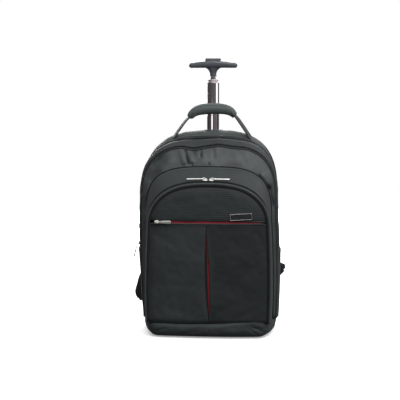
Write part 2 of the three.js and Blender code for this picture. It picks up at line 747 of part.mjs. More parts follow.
// A pull: a ring and a bar, from the origin along X.
function pullGeometry({ long, wide, thick }, endWide = wide) {
  const { ring, hole } = PULL;
  const outline = new THREE.Shape();
  const neck = ring * 0.8;
  outline.moveTo(neck, -wide / 3);
  outline.lineTo(long - endWide / 2, -endWide / 2);
  outline.quadraticCurveTo(long, -endWide / 2, long, 0);
  outline.quadraticCurveTo(long, endWide / 2, long - endWide / 2, endWide / 2);
  outline.lineTo(neck, wide / 3);
  const options = { depth: thick, bevelEnabled: false, curveSegments: 4 };
  const flat = (shape) => new THREE.ExtrudeGeometry(shape, options).translate(0, 0, -thick / 2);
  const disc = new THREE.Shape().absarc(0, 0, ring, 0, 2 * Math.PI);
  const mouth = new THREE.Shape().absarc(0, 0, hole, 0, 2 * Math.PI);
  return cut(join(flat(outline), flat(disc)), flat(mouth).scale(1, 1, 2));
}

// A slider on its seat, and its pull, lifted off the gusset by an angle.
function addSlider(name, seat, pull, lift = 0) {
  place(`slider_${name}`, sliderGeometry(), "nickel", seat);
  const mesh = place(`pull_${name}`, pull, "nickel", seat);
  mesh.position.set(SLIDER.bailReach, 0, (SLIDER.high + SLIDER.bailTop) / 2 + 0.1);
  mesh.rotation.y = -lift;
}

function addZips() {
  for (const [name, zip] of Object.entries(ZIPS)) place(name, zipStrip(zip), "black");
  const bar = pullGeometry(PULL);
  for (const [name, { above, lift }] of Object.entries(SIDE_SLIDERS)) {
    const zip = ZIPS[`zip_${name}`];
    const curve = new THREE.CatmullRomCurve3(gussetRow(zip.from, zip.to, zip.at, crownOf(zip)));
    addSlider(name, zipSeat(zip, shareAtHeight(curve, zip.end + above), true), bar, lift);
  }
  for (const [side, share] of Object.entries(ORGANISER_SLIDERS))
    addSlider(`organiser_${side}`, zipSeat(ZIPS.zip_organiser, share, side === "left"), bar);

  const seat = new THREE.Group();
  const x = -edgeOf("pocketFront")(SLIT_Z) + SLIT_SLIDER;
  seat.position.set(x, frontPanelY(x, SLIT_Z) - FABRIC - 3 * GAP, SLIT_Z);
  seat.rotation.x = Math.PI / 2;
  bag.add(seat);
  addSlider("front_pocket", seat, pullGeometry(TAB, TAB.wide));
}

// The trolley pole and its handle.
function addPole() {
  const floor = CHASSIS.bottom + CHASSIS.wall + GAP;
  const mouth = BAG_HEIGHT - BEZEL.drop;
  const room = 4 * GAP;
  place("pole_sleeve", ovalTube(SLEEVE.wide, SLEEVE.deep, floor, mouth, SLEEVE.wall), "plastic");

  const bezel = ovalTube(BEZEL.wide, BEZEL.deep, BAG_HEIGHT - BEZEL.skirt, mouth + BEZEL.rise);
  const sleeveRoom = ovalTube(SLEEVE.wide + 2 * GAP, SLEEVE.deep + 2 * GAP, 0, mouth + GAP);
  const tubeRoom = ovalTube(STAGE.wide + room, STAGE.deep + room, 0, BAG_HEIGHT + PAST);
  const bagRoom = envelope("back", "rear", GUSSET_CROWN.rear, 2 * GAP);
  place("pole_bezel", cut(bezel, bagRoom, sleeveRoom, tubeRoom), "plastic");

  const stageBottom = BAG_HEIGHT - STAGE.inside;
  place("pole_stage", ovalTube(STAGE.wide, STAGE.deep, stageBottom, stageTop, STAGE.wall), "chrome");
  const plug = 2 * (STAGE.wall + GAP);
  const collarTop = stageTop + COLLAR.height;
  const lipBottom = collarTop - COLLAR.lip;
  const narrow = 1.5 * COLLAR.lip;
  const cap = [
    ovalTube(COLLAR.wide, COLLAR.deep, stageTop + GAP, lipBottom),
    ovalTube(COLLAR.wide - narrow, COLLAR.deep - narrow, lipBottom - GAP, collarTop),
    ovalTube(STAGE.wide - plug, STAGE.deep - plug, stageTop - COLLAR.plug, stageTop + 2 * GAP),
  ];
  const bore = 2 * (INNER_TUBE.radius + GAP);
  place("pole_collar", cut(join(...cap), ovalTube(bore, bore, 0, collarTop + PAST)), "chrome");

  const tube = 2 * INNER_TUBE.radius;
  const tubeBottom = stageTop - INNER_TUBE.inside;
  place("pole_inner_tube", ovalTube(tube, tube, tubeBottom, neckBottom - GAP, INNER_TUBE.wall), "chrome");
}

function teeBar() {
  const half = TEE.width / 2;
  const { endHeight } = TEE;
  const [bottom, top] = [teeBottom, teeTop];
  const corner = endHeight / 2;
  const endTop = bottom + endHeight;
  const shape = new THREE.Shape();
  shape.moveTo(-half + corner, bottom);
  shape.lineTo(half - corner, bottom);
  shape.quadraticCurveTo(half, bottom, half, bottom + corner);
  shape.quadraticCurveTo(half, endTop - 1, half - corner * 1.5, endTop);
  shape.quadraticCurveTo(0, 2 * top - endTop, -half + corner * 1.5, endTop);
  shape.quadraticCurveTo(-half, endTop - 1, -half, bottom + corner);
  shape.quadraticCurveTo(-half, bottom, -half + corner, bottom);
  return extrudeFront(shape, TEE.depth, POLE_Y, 3);
}

function teeNeck() {
  const { radius, rim, flare, flareHalf } = NECK;
  const bottom = neckBottom;
  const overlap = 3;
  const profile = [
    [0, bottom],
    [rim, bottom],
    [rim, bottom + 2],
    [radius, bottom + 3.5],
    [radius, teeBottom + overlap],
    [0, teeBottom + overlap],
  ].map(([r, z]) => new THREE.Vector2(r, z));
  const neck = new THREE.LatheGeometry(profile, 16).rotateX(Math.PI / 2).translate(0, POLE_Y, 0);
  const web = new THREE.Shape();
  const foot = radius - 1;
  const [footZ, bendZ, topZ] = [bottom + flare, teeBottom - 4, teeBottom + 1];
  web.moveTo(-foot, footZ);
  web.lineTo(foot, footZ);
  web.quadraticCurveTo(foot + 1.5, bendZ, flareHalf, topZ);
  web.lineTo(-flareHalf, topZ);
  web.quadraticCurveTo(-foot - 1.5, bendZ, -foot, footZ);
  return join(neck, extrudeFront(web, TEE.depth * 0.55, POLE_Y, 1.5, 4));
}

function addTee() {
  const [wide, deep] = [BUTTON.wide / 2 + 2 * GAP, BUTTON.deep / 2 + 2 * GAP];
  const pocketFloor = teeTop - BUTTON.sunk - BUTTON.travel - GAP;
  const pocket = boxBetween(vec(-wide, POLE_Y - deep, pocketFloor), vec(wide, POLE_Y + deep, teeTop + PAST));
  place("tee_grip", cut(join(teeBar(), teeNeck()), pocket), "plastic");
  const outline = new THREE.Shape();
  const [half, bottom, corner] = [BUTTON.wide / 2, teeTop - BUTTON.sunk, 2.5];
  outline.moveTo(-half, bottom);
  outline.lineTo(half, bottom);
  outline.lineTo(half, buttonTop - corner);
  outline.quadraticCurveTo(half, buttonTop, half - corner, buttonTop);
  outline.lineTo(-half + corner, buttonTop);
  outline.quadraticCurveTo(-half, buttonTop, -half, buttonTop - corner);
  place("tee_button", extrudeFront(outline, BUTTON.deep, POLE_Y), "plastic");
}

// The carrying handle: one length of webbing, through a padded grip.
function handleLine() {
  const foot = BAG_HEIGHT - HANDLE_DROP;
  const under = BAG_HEIGHT + GRIP.rise - GRIP.high / 2;
  return new THREE.CatmullRomCurve3(
    [
      vec(-HANDLE_FOOT - 10, HANDLE_Y, foot),
      vec(-GRIP.half - 2, HANDLE_Y, under - GRIP.droop),
      vec(-GRIP.half * 0.55, HANDLE_Y, under - GRIP.droop * 0.22),
      vec(0, HANDLE_Y, under),
      vec(GRIP.half * 0.55, HANDLE_Y, under - GRIP.droop * 0.22),
      vec(GRIP.half + 2, HANDLE_Y, under - GRIP.droop),
      vec(HANDLE_FOOT + 10, HANDLE_Y, foot),
    ],
    false,
    "centripetal",
  );
}

// Rings round the handle's line: an oval, or a flat slot.
function handleRings(line, shares, high, deep, sides) {
  return shares.map((share) => {
    const centre = line.getPoint(share);
    const along = line.getTangent(share);
    const up = vec(-along.z, 0, along.x);
    return Array.from({ length: sides }, (_, i) => {
      const angle = (2 * Math.PI * (i + 0.5)) / sides;
      const y = centre.y + (deep(share) / 2) * Math.cos(angle);
      return centre.clone().addScaledVector(up, (high(share) / 2) * Math.sin(angle)).setY(y);
    });
  });
}

function addHandle() {
  const line = handleLine();
  const shares = even(12).map((s) => lerp(0.232, 0.768, s));
  const swell = (share) => 1 - 0.36 * Math.abs((share - 0.5) / 0.268) ** 4;
  const slot = (size) => () => (size + 4 * GAP) * Math.SQRT2;
  const outer = handleRings(line, shares, (s) => GRIP.high * swell(s), (s) => GRIP.depth * swell(s), 12);
  const past = 0.02;
  const coreShares = [shares[0] - past, ...shares, shares.at(-1) + past];
  const inner = handleRings(line, coreShares, slot(WEBBING.thick), slot(WEBBING.width), 4);
  const core = stackAlong(inner);
  place("handle_grip", cut(stackAlong(outer), core), "twill");

  const ends = even(18);
  const size = (value) => () => value * Math.SQRT2;
  const webbing = stackAlong(handleRings(line, ends, size(WEBBING.thick), size(WEBBING.width), 4));
  const wall = envelope("back", "rear", GUSSET_CROWN.rear, 2 * GAP);
  const below = boxBetween(vec(-BAG_WIDTH, -BAG_DEPTH, 0), vec(BAG_WIDTH, BAG_DEPTH, BAG_HEIGHT * 0.92));
  place("handle_webbing", cut(webbing, wall, below), "black");
}

// A solid through rings that stand across a line.
function stackAlong(rings) {
  const count = rings[0].length;
  const index = [];
  for (let ring = 0; ring < rings.length - 1; ring++)
    for (let i = 0; i < count; i++) {
      const [a, b] = [ring * count + i, ring * count + ((i + 1) % count)];
      index.push(a, b, b + count, a, b + count, a + count);
    }
  const last = (rings.length - 1) * count;
  for (let i = 1; i < count - 1; i++) {
    index.push(0, i + 1, i);
    index.push(last, last + i, last + i + 1);
  }
  return facingOut(rings.flat(), index);
}

// The chassis across the back of the base, with its two wheel wells.
const axleY = chassisBack - WHEEL.setback;
const axleZ = WHEEL.radius;

function addChassis() {
  const { bottom, top, wall } = CHASSIS;
  const half = chassisHalf;
  const shell = boxBetween(vec(-half, chassisFront, bottom), vec(half, chassisBack, top));
  const hollow = boxBetween(
    vec(-half + wall, chassisFront - PAST, bottom + wall),
    vec(half - wall, chassisBack - wall, top + PAST),
  );
  const wellRadius = WHEEL.radius + WELL_CLEARANCE;
  const wellHalf = WHEEL.width / 2 + WELL_CLEARANCE;
  const wells = [-1, 1].map((side) => {
    const [from, to] = [side * wheelX - wellHalf - wall, side * wheelX + wellHalf + wall];
    return common(cylinderAlongX(wellRadius + wall, from, to, axleY, axleZ), shell);
  });
  const rooms = [-1, 1].map((side) =>
    cylinderAlongX(wellRadius, side * wheelX - wellHalf, side * wheelX + wellHalf, axleY, axleZ),
  );
  const bores = [-1, 1].map((side) => {
    const [from, to] = [side * (wheelX - wellHalf - PAST), side * (half + PAST)];
    return cylinderAlongX(WHEEL.axle + GAP, from, to, axleY, axleZ, 12);
  });
  const walls = cut(shell, hollow);
  place("wheel_chassis", cut(join(walls, ...wells), ...rooms, ...bores), "plastic");
}

function addWheels() {
  const turned = (profile, x) =>
    new THREE.LatheGeometry(profile.map(([r, along]) => new THREE.Vector2(r, along)), 20)
      .rotateZ(Math.PI / 2)
      .translate(x, axleY, axleZ);
  const { radius, width, hub, axle } = WHEEL;
  const x = wheelX;
  const half = width / 2;
  const bore = axle + RUNNING_FIT;
  const wellHalf = half + WELL_CLEARANCE + CHASSIS.wall;
  for (const [name, side] of Object.entries({ left: -1, right: 1 })) {
    const tyre = [
      [hub + GAP, -half + 1],
      [radius - 4, -half],
      [radius - 1, -half + 3],
      [radius, -half + 7],
      [radius, half - 7],
      [radius - 1, half - 3],
      [radius - 4, half],
      [hub + GAP, half - 1],
      [hub + GAP, -half + 1],
    ];
    const core = [
      [bore, -half],
      [bore + 4, -half],
      [bore + 5, -half + 4],
      [hub - 3, -half + 4],
      [hub, -half + 1],
      [hub, half - 1],
      [hub - 3, half - 4],
      [bore + 5, half - 4],
      [bore + 4, half],
      [bore, half],
      [bore, -half],
    ];
    place(`tyre_${name}`, turned(tyre, side * x), "rubber");
    place(`hub_${name}`, turned(core, side * x), "plastic");
    const ends = [side * x - wellHalf, side * x + wellHalf];
    place(`axle_${name}`, cylinderAlongX(axle, ends[0], ends[1], axleY, axleZ, 12), "nickel");
  }
}

// The side pockets, open at the top.
function addSidePockets() {
  const { top, back, front, crown, lift } = SIDE_POCKET;
  const heights = even(5).map((share) => lerp(SEAM_Z + 2 * GAP, top, share));
  const sideX = (side, share, z) => {
    const at = (seam) => leanAt(seam, z) + side * halfWidthAt(seam, z);
    return lerp(at("rear"), at("main"), share) + side * GUSSET_CROWN.main.side * Math.sin(Math.PI * share);
  };
  for (const [name, side] of Object.entries({ left: -1, right: 1 })) {
    const grid = (thick) =>
      heights.map((z) =>
        even(8).map((across) => {
          const share = lerp(back, front, across);
          const open = crown * Math.sin(Math.PI * across) ** 0.7 * smoothstep(z, SEAM_Z - 2 * PAST, SEAM_Z + 6 * PAST);
          const y = lerp(seamY("rear", z), seamY("main", z), share);
          return vec(sideX(side, share, z) + side * (lift + thick + open), y, z);
        }),
      );
    place(`side_pocket_${name}`, slab(grid(FABRIC), grid(0)), "twill");
  }
}

// The shoulder straps.
function addStraps() {
  for (const [name, stations] of Object.entries(STRAPS)) {
    const rail = stations.map((s) => vec((s.x * BAG_WIDTH) / 2, chassisBack + GAP + s.y, s.z * BAG_HEIGHT));
    const grid = (lift, inset) =>
      rail.map((point, i) => {
        const along = rail[Math.min(i + 1, rail.length - 1)].clone().sub(rail[Math.max(i - 1, 0)]);
        const across = vec(-along.z, 0, along.x).normalize();
        return [-1, -0.6, 0.6, 1].map((share) => {
          const edge = Math.abs(share) === 1 ? inset : 0;
          const half = stations[i].half;
          return point.clone().addScaledVector(across, share * half).add(vec(0, lift + edge, 0));
        });
      });
    const round = STRAP_THICK * 0.3;
    place(`shoulder_strap_${name}`, slab(grid(STRAP_THICK, -round), grid(0, round)), "black");
    addLowerWebbing(name, rail);
  }
}

// A strap's lower webbing, and the wing that holds it to the back panel.
function addLowerWebbing(name, rail) {
  const side = name === "left" ? -1 : 1;
  const reach = WING_REACH[name];
  const y = chassisBack + GAP;
  const outline = new THREE.Shape();
  outline.moveTo(side * WING.inboard, WING.z - WING.half);
  outline.lineTo(side * reach, WING.z - WING.tip);
  outline.lineTo(side * reach, WING.z + WING.tip);
  outline.lineTo(side * WING.inboard, WING.z + WING.half);
  place(`strap_wing_${name}`, extrudeFront(outline, WING.thick, y + WING.thick / 2), "black");

  const end = rail.at(-1);
  const nearFace = y + WING.thick + GAP;
  const top = vec(side * (reach - 10), nearFace, WING.z - 2);
  const bottom = vec(end.x, end.y - LOWER_WEBBING.thick - GAP, end.z + 8);
  const down = bottom.clone().sub(top).normalize();
  const wide = vec(-down.z, 0, down.x).normalize().multiplyScalar(LOWER_WEBBING.width / 2);
  const strip = (thick) =>
    [top, bottom].map((p) => [p.clone().sub(wide), p.clone().add(wide)].map((q) => q.setY(q.y + thick)));
  place(`strap_webbing_${name}`, slab(strip(0), strip(LOWER_WEBBING.thick)), "black");
}

// The badge, with nothing on it.
function addBadge() {
  const { width, height, thick, x, turn } = BADGE;
  const z = SLIT_Z + BADGE.aboveSlit;
  const plate = boxBetween(vec(-width / 2, -thick, -height / 2), vec(width / 2, 0, height / 2));
  const mesh = place("badge", plate, "enamel");
  const reach = width / 2;
  const nearest = Math.min(frontPanelY(x - reach, z), frontPanelY(x + reach, z), frontPanelY(x, z));
  const slope = Math.atan2(frontPanelY(x + reach, z) - frontPanelY(x - reach, z), width);
  mesh.position.set(x, (nearest + frontPanelY(x, z)) / 2 - FABRIC - 2 * GAP, z);
  mesh.rotation.set(0, -turn, slope, "ZYX");
}

addGussets();
addMainPanel();
addFrontPanels();
addBackPanel();
addBaseTray();
addPiping();
addZips();
addPole();
addTee();
addHandle();
addChassis();
addWheels();
addSidePockets();
addStraps();
addBadge();

export default bag;
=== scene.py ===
"""Looks for a wheeled backpack with a telescopic T-handle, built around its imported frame.

Every length is in metres. +Z is up, -Y is the front with the organiser pocket, and +Y the back with the straps.
"""

import math

import bmesh
import bpy
from mathutils.bvhtree import BVHTree
from mathutils import Matrix, Vector, noise


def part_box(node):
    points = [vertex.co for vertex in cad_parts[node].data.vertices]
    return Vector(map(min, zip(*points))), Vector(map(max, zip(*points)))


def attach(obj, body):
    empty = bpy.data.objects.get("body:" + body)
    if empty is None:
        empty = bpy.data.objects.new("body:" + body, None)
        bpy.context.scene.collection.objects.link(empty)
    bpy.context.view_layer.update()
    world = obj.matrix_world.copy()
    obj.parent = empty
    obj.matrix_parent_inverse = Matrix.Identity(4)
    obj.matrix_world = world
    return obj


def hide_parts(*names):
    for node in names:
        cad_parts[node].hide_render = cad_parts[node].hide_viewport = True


bl_info = {
    "name": "Wheeled Backpack",
    "version": (1, 0, 0),
    "blender": (4, 5, 0),
    "location": "View3D > Sidebar > Backpack",
    "description": "Cloth, zips, handles and wheels for a wheeled backpack",
    "category": "Add Mesh",
}

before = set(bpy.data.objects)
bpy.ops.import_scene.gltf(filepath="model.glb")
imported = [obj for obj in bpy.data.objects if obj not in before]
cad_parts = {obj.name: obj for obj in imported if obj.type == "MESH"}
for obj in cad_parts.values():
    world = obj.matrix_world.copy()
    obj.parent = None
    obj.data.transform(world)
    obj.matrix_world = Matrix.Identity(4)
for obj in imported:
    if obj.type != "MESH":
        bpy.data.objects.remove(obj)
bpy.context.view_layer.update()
MM = 0.001
UP = Vector((0, 0, 1))

# The seam loops, from the back forwards. Widths are shares of half the bag's width, heights of its height,
# and places of its depth, forwards from the back seam. curve is the arch's exponent, and lean is how far
# the soft loop sags towards -X.
SEAM_SHARES = ("foot", "belly", "shoulder", "shoulder_z", "top_z", "foot_y", "top_y", "curve", "lean")
SEAMS = {
    "back": (0.95, 0.975, 0.97, 0.65, 0.985, 0, 0, 2.8, 0.044),
    "rear": (0.955, 0.985, 0.98, 0.645, 0.965, 0.279, 0.279, 3, 0.044),
    "main": (0.945, 0.965, 0.96, 0.625, 0.921, 0.64, 0.51, 3.1, 0.032),
    "pocket_back": (0.885, 0.9, 0.88, 0.57, 0.818, 0.8, 0.7, 3.3, 0.02),
    "pocket_front": (0.84, 0.85, 0.83, 0.52, 0.736, 1.0, 0.93, 2.5, 0),
}
SEAMS = {name: dict(zip(SEAM_SHARES, shares)) for name, shares in SEAMS.items()}
BELLY_SHARE = 0.24
LEAN_POWER = 1.8
ARCH_END = math.radians(88)
SEAM_SAGS = ((-0.21, 0.16, 0.010), (0.34, 0.14, 0.004))  # place, reach and drop

# Creases: the two ends of each, as x and z in millimetres, its half width and its depth.
MAIN_CREASES = (
    (-59, 421, -49, 386, 3.2, 5.5),
    (-68, 418, -58, 390, 6, -2.6),
    (-46, 404, -40, 392, 4, -1.6),
    (-38, 414, -37, 409, 3.6, 5.0),
    (-22, 421, -21, 402, 3.0, 4.6),
    (-28, 419, -27, 404, 4, -1.8),
    (-14, 420, -14, 406, 5, -1.4),
    (-58, 420, -26, 413, 2.6, 3.0),
    (-41, 384, -40, 378, 3, 2.4),
    (-2, 385, -2, 379, 3, 2.2),
    (4, 430, 9, 402, 5, 1.6),
    (-118, 398, -132, 352, 17, 8.0),
    (-96, 405, -112, 372, 9, -1.8),
    (62, 416, 80, 390, 7, 1.8),
    (98, 402, 116, 368, 8, 2.0),
    (112, 358, 133, 330, 4, 5.0),
    (133, 332, 142, 292, 5, 7.0),
    (-132, 330, -144, 280, 6, 4.0),
)
FRONT_CREASES = (
    (-116, 232, -72, 206, 9, 0.9),
    (-90, 70, -40, 52, 10, 0.8),
    (110, 236, 124, 196, 6, 0.9),
    (60, 214, 118, 176, 12, 0.7),
    (-112, 60, -84, 92, 8, 0.7),
    (96, 60, 62, 46, 8, 0.8),
    (30, 120, 74, 108, 14, 0.5),
)


class BackpackSizes(bpy.types.PropertyGroup):
    """The bag's driving sizes."""

    bag_width: bpy.props.FloatProperty(name="Bag width", description="Widest part", default=0.317, unit="LENGTH")
    bag_height: bpy.props.FloatProperty(name="Bag height", description="To its top", default=0.461, unit="LENGTH")
    bag_depth: bpy.props.FloatProperty(name="Bag depth", description="At its foot", default=0.19, unit="LENGTH")
    back_y: bpy.props.FloatProperty(name="Back seam", description="Its place in Y", default=0.088, unit="LENGTH")
    seam_z: bpy.props.FloatProperty(name="Base seam", description="Its height", default=0.034, unit="LENGTH")
    fabric: bpy.props.FloatProperty(name="Fabric", description="Thickness", default=0.002, unit="LENGTH")
    gap: bpy.props.FloatProperty(name="Gap", description="Between sewn pieces", default=0.0003, unit="LENGTH")
    main_crown: bpy.props.FloatProperty(
        name="Main crown", description="How far the main panel stands out", default=0.026, unit="LENGTH"
    )
    front_crown: bpy.props.FloatProperty(
        name="Front crown", description="How far the front panel stands out", default=0.009, unit="LENGTH"
    )
    slit_z: bpy.props.FloatProperty(name="Slit height", description="Of its middle", default=0.26, unit="LENGTH")
    slit_open: bpy.props.FloatProperty(name="Slit opening", description="Its height", default=0.006, unit="LENGTH")
    pleat_width: bpy.props.FloatProperty(
        name="Pleat mouth", description="Width of the pleat's mouth", default=0.0104, unit="LENGTH"
    )
    piping: bpy.props.FloatProperty(name="Piping", description="Its radius", default=0.0016, unit="LENGTH")
    zip_width: bpy.props.FloatProperty(name="Zip width", description="Of the tape", default=0.011, unit="LENGTH")
    strap_thick: bpy.props.FloatProperty(
        name="Strap thickness", description="Of the shoulder pads", default=0.011, unit="LENGTH"
    )


def colour_prop(name, default):
    """A colour that a user may change."""
    return bpy.props.FloatVectorProperty(
        name=name, description=f"Colour of the {name.lower()}", subtype="COLOR", size=3, min=0, max=1, default=default
    )


class BackpackColours(bpy.types.PropertyGroup):
    """The bag's colours. Satin, rear and front are one black twill made lighter or darker, as painted light and shade.
    """

    twill: colour_prop("Twill", (0.022, 0.0265, 0.027))
    ribbed: colour_prop("Ribbed cloth", (0.0265, 0.032, 0.032))
    # Painted light and shade: satin lighter for the up-facing main panel, rear lighter for the lit top, front darker
    # for the forward faces.
    satin: colour_prop("Satin", (0.031, 0.037, 0.039))
    rear: colour_prop("Rear cloth", (0.047, 0.055, 0.054))
    front: colour_prop("Front cloth", (0.0165, 0.0205, 0.021))
    seam: colour_prop("Seam shadow", (0.006, 0.007, 0.007))
    lining: colour_prop("Lining", (0.17, 0.012, 0.020))
    webbing: colour_prop("Webbing", (0.030, 0.034, 0.035))
    mesh: colour_prop("Spacer mesh", (0.020, 0.021, 0.023))
    slate: colour_prop("Slate plastic", (0.056, 0.062, 0.074))
    black: colour_prop("Black plastic", (0.016, 0.017, 0.019))
    chrome: colour_prop("Chrome", (0.60, 0.54, 0.56))
    nickel: colour_prop("Nickel", (0.80, 0.79, 0.76))
    rubber: colour_prop("Rubber", (0.018, 0.018, 0.019))
    enamel: colour_prop("Badge plate", (0.008, 0.008, 0.010))


def sizes():
    return bpy.context.scene.backpack_sizes


def colours():
    return bpy.context.scene.backpack_colours


# Seams and surfaces.
def lerp(a, b, share):
    return a + (b - a) * share


def clamp(value, low=0.0, high=1.0):
    return max(low, min(high, value))


def smoothstep(value, low, high):
    share = clamp((value - low) / (high - low))
    return share * share * (3 - 2 * share)


class Line:
    """A line through points, read by its share of the length."""

    def __init__(self, points):
        self.points = [Vector(p) for p in points]
        self.reach = [0.0]
        for a, b in zip(self.points, self.points[1:]):
            self.reach.append(self.reach[-1] + (b - a).length)
        self.length = self.reach[-1]

    def _span(self, share):
        wanted = clamp(share) * self.length
        low, high = 0, len(self.reach) - 1
        while high - low > 1:
            middle = (low + high) // 2
            low, high = (middle, high) if self.reach[middle] <= wanted else (low, middle)
        size = self.reach[high] - self.reach[low]
        return low, (wanted - self.reach[low]) / size if size else 0.0

    def at(self, share):
        low, part = self._span(share)
        return self.points[low].lerp(self.points[low + 1], part)

    def tangent(self, share, step=0.004):
        return (self.at(share + step) - self.at(share - step)).normalized()

    def smoothed(self, rounds=2):
        """The same line with its corners cut, by Chaikin's rule."""
        points = self.points
        for _ in range(rounds):
            cut = [points[0]]
            for a, b in zip(points, points[1:]):
                cut += [a.lerp(b, 0.25), a.lerp(b, 0.75)]
            points = cut + [points[-1]]
        return Line(points)


def half_width_of(share):
    return share * sizes().bag_width / 2


def top_of(seam):
    return SEAMS[seam]["top_z"] * sizes().bag_height


def half_width_at(seam, z):
    """Half the width of a seam loop at a height."""
    s = SEAMS[seam]
    height = sizes().bag_height
    shoulder = s["shoulder_z"] * height
    if z >= shoulder:
        share = min((z - shoulder) / (s["top_z"] * height - shoulder), 1)
        return half_width_of(s["shoulder"]) * (1 - share ** s["curve"]) ** (1 / s["curve"])
    foot, belly = sizes().seam_z, BELLY_SHARE * height
    low = half_width_of(s["foot"]) * (z - belly) * (z - shoulder) / ((foot - belly) * (foot - shoulder))
    middle = half_width_of(s["belly"]) * (z - foot) * (z - shoulder) / ((belly - foot) * (belly - shoulder))
    high = half_width_of(s["shoulder"]) * (z - foot) * (z - belly) / ((shoulder - foot) * (shoulder - belly))
    return low + middle + high


def seam_y(seam, z):
    s = SEAMS[seam]
    share = lerp(s["foot_y"], s["top_y"], z / (s["top_z"] * sizes().bag_height))
    return sizes().back_y - share * sizes().bag_depth


def lean_at(seam, z):
    share = clamp(z / sizes().bag_height)
    return -half_width_of(SEAMS[seam]["lean"]) * math.sin(math.pi * share**LEAN_POWER)


def sag_at(x):
    share = x / (sizes().bag_width / 2)
    return sum(drop * math.exp(-(((share - place) / reach) ** 2)) for place, reach, drop in SEAM_SAGS)


def half_loop(seam, sides=20, arch=40):
    """The right half of a seam loop from its foot to its top, as pairs of half width and height."""
    s = SEAMS[seam]
    shoulder = s["shoulder_z"] * sizes().bag_height
    rise = top_of(seam) - shoulder
    foot = sizes().seam_z + sizes().gap
    points = []
    for i in range(sides):
        z = lerp(foot, shoulder, i / sides)
        points.append((half_width_at(seam, z), z))
    for i in range(arch + 1):
        angle = ARCH_END * i / arch
        power = 2 / s["curve"]
        width = half_width_of(s["shoulder"]) * math.cos(angle) ** power
        points.append((width, shoulder + rise * (math.sin(angle) / math.sin(ARCH_END)) ** power))
    return points


LOOPS = {}


def seam_line(seam):
    """A whole seam loop, from the left foot over the top to the right foot."""
    if seam not in LOOPS:
        half = half_loop(seam)
        shoulder, top = SEAMS[seam]["shoulder_z"] * sizes().bag_height, half[-1][1]
        points = []
        for x, z in [(-x, z) for x, z in half] + half[::-1]:
            drop = sag_at(x) * smoothstep(z, shoulder, top) if seam == "main" else 0.0
            points.append(Vector((x + lean_at(seam, z), seam_y(seam, z - drop), z - drop)))
        if seam == "pocket_back":
            lift = sizes().fabric + 2 * sizes().gap
            points = [Vector((p.x, main_panel_y(p.x, p.z) - lift, p.z)) for p in points]
        LOOPS[seam] = Line(points)
    return LOOPS[seam]


def outward(seam, share):
    """The direction away from the bag's middle, square to a seam loop."""
    along = seam_line(seam).tangent(share)
    return Vector((-along.z, 0, along.x)).normalized()


def main_middle():
    return (sizes().seam_z + top_of("main")) / 2


def main_ring():
    """The main panel's edge: its seam loop, closed along the foot."""
    points = list(seam_line("main").points)
    left, right = points[0], points[-1]
    foot = [right.lerp(left, i / 16) for i in range(1, 16)]
    return points + foot


def ring_table():
    """The main panel's edge as angles about its middle and distances, in order of angle."""
    if "table" not in LOOPS:
        middle = main_middle()
        LOOPS["table"] = sorted(
            (math.atan2(p.z - middle, p.x), math.hypot(p.x, p.z - middle)) for p in main_ring()
        )
    return LOOPS["table"]


def share_out(x, z):
    """How far out a point of the main panel is: 0 in the middle and 1 at its edge."""
    table = ring_table()
    dz = z - main_middle()
    angle = math.atan2(dz, x)
    low, high = 0, len(table) - 1
    if not table[0][0] <= angle <= table[-1][0]:
        radius = table[0][1]
    else:
        while high - low > 1:
            middle = (low + high) // 2
            low, high = (middle, high) if table[middle][0] <= angle else (low, middle)
        (a0, r0), (a1, r1) = table[low], table[high]
        radius = lerp(r0, r1, (angle - a0) / max(a1 - a0, 1e-9))
    return min(math.hypot(x, dz) / radius, 1)


def crease_depth(creases, x, z):
    """How deep the creases press a surface in at a place, in metres."""
    depth = 0.0
    for x0, z0, x1, z1, width, deep in creases:
        a, b = Vector((x0, z0)) * MM, Vector((x1, z1)) * MM
        way = b - a
        along = clamp((Vector((x, z)) - a).dot(way) / way.length_squared)
        off = (Vector((x, z)) - a - way * along).length
        depth += deep * MM * math.exp(-((off / (width * MM)) ** 2))
    return depth


def unevenness(x, y, z, size, depth, seed=0.0):
    """Soft cloth's own unevenness, as a height."""
    return depth * noise.noise(Vector((x / size + seed, y / size, z / size)))


def main_panel_y(x, z):
    """The main panel's inner face."""
    stand = sizes().main_crown
    return seam_y("main", z) - sizes().gap - stand * (1 - share_out(x, z) ** 9)


def front_panel_y(x, z):
    """The organiser's front panel's inner face."""
    seam = "pocket_front"
    half = half_width_at(seam, min(z, top_of(seam) * 0.999))
    across = min(abs(x) / max(half, MM), 1)
    up = clamp((z - sizes().seam_z) / (top_of(seam) - sizes().seam_z))
    return seam_y(seam, z) - sizes().gap - sizes().front_crown * (1 - across**3) * (1 - up**5)


# Mesh makers.
def grid(columns, rows, place, size=(1.0, 1.0)):
    """A sheet of columns by rows whose points place(u, v) gives; size is its width and height for the UV map."""
    bm = bmesh.new()
    bmesh.ops.create_grid(bm, x_segments=columns, y_segments=rows, size=0.5)
    uv = bm.loops.layers.uv.new("UVMap")
    for face in bm.faces:
        for loop in face.loops:
            loop[uv].uv = ((loop.vert.co.x + 0.5) * size[0], (loop.vert.co.y + 0.5) * size[1])
    for vert in bm.verts:
        vert.co = place(vert.co.x + 0.5, vert.co.y + 0.5)
    return bm


def sweep(line, section, steps, sides, turn=None, caps=True):
    """A tube along a line. section(share, angle) gives a point across it: sideways and up, by turn(share)."""
    size = 0.0
    for i in range(sides):
        a, b = (Vector(section(0.5, 2 * math.pi * (i + k) / sides)) for k in (0, 1))
        size += (b - a).length

    def place(u, v):
        along = line.tangent(u)
        high = turn(u) if turn else UP
        wide = along.cross(high).normalized()
        high = wide.cross(along).normalized()
        side, rise = section(u, 2 * math.pi * v)
        return line.at(u) + wide * side + high * rise

    bm = grid(steps, sides, place, (line.length, size))
    bmesh.ops.remove_doubles(bm, verts=bm.verts, dist=1e-6)
    if caps:
        bmesh.ops.holes_fill(bm, edges=[e for e in bm.edges if e.is_boundary], sides=0)
    bmesh.ops.recalc_face_normals(bm, faces=bm.faces)
    return bm


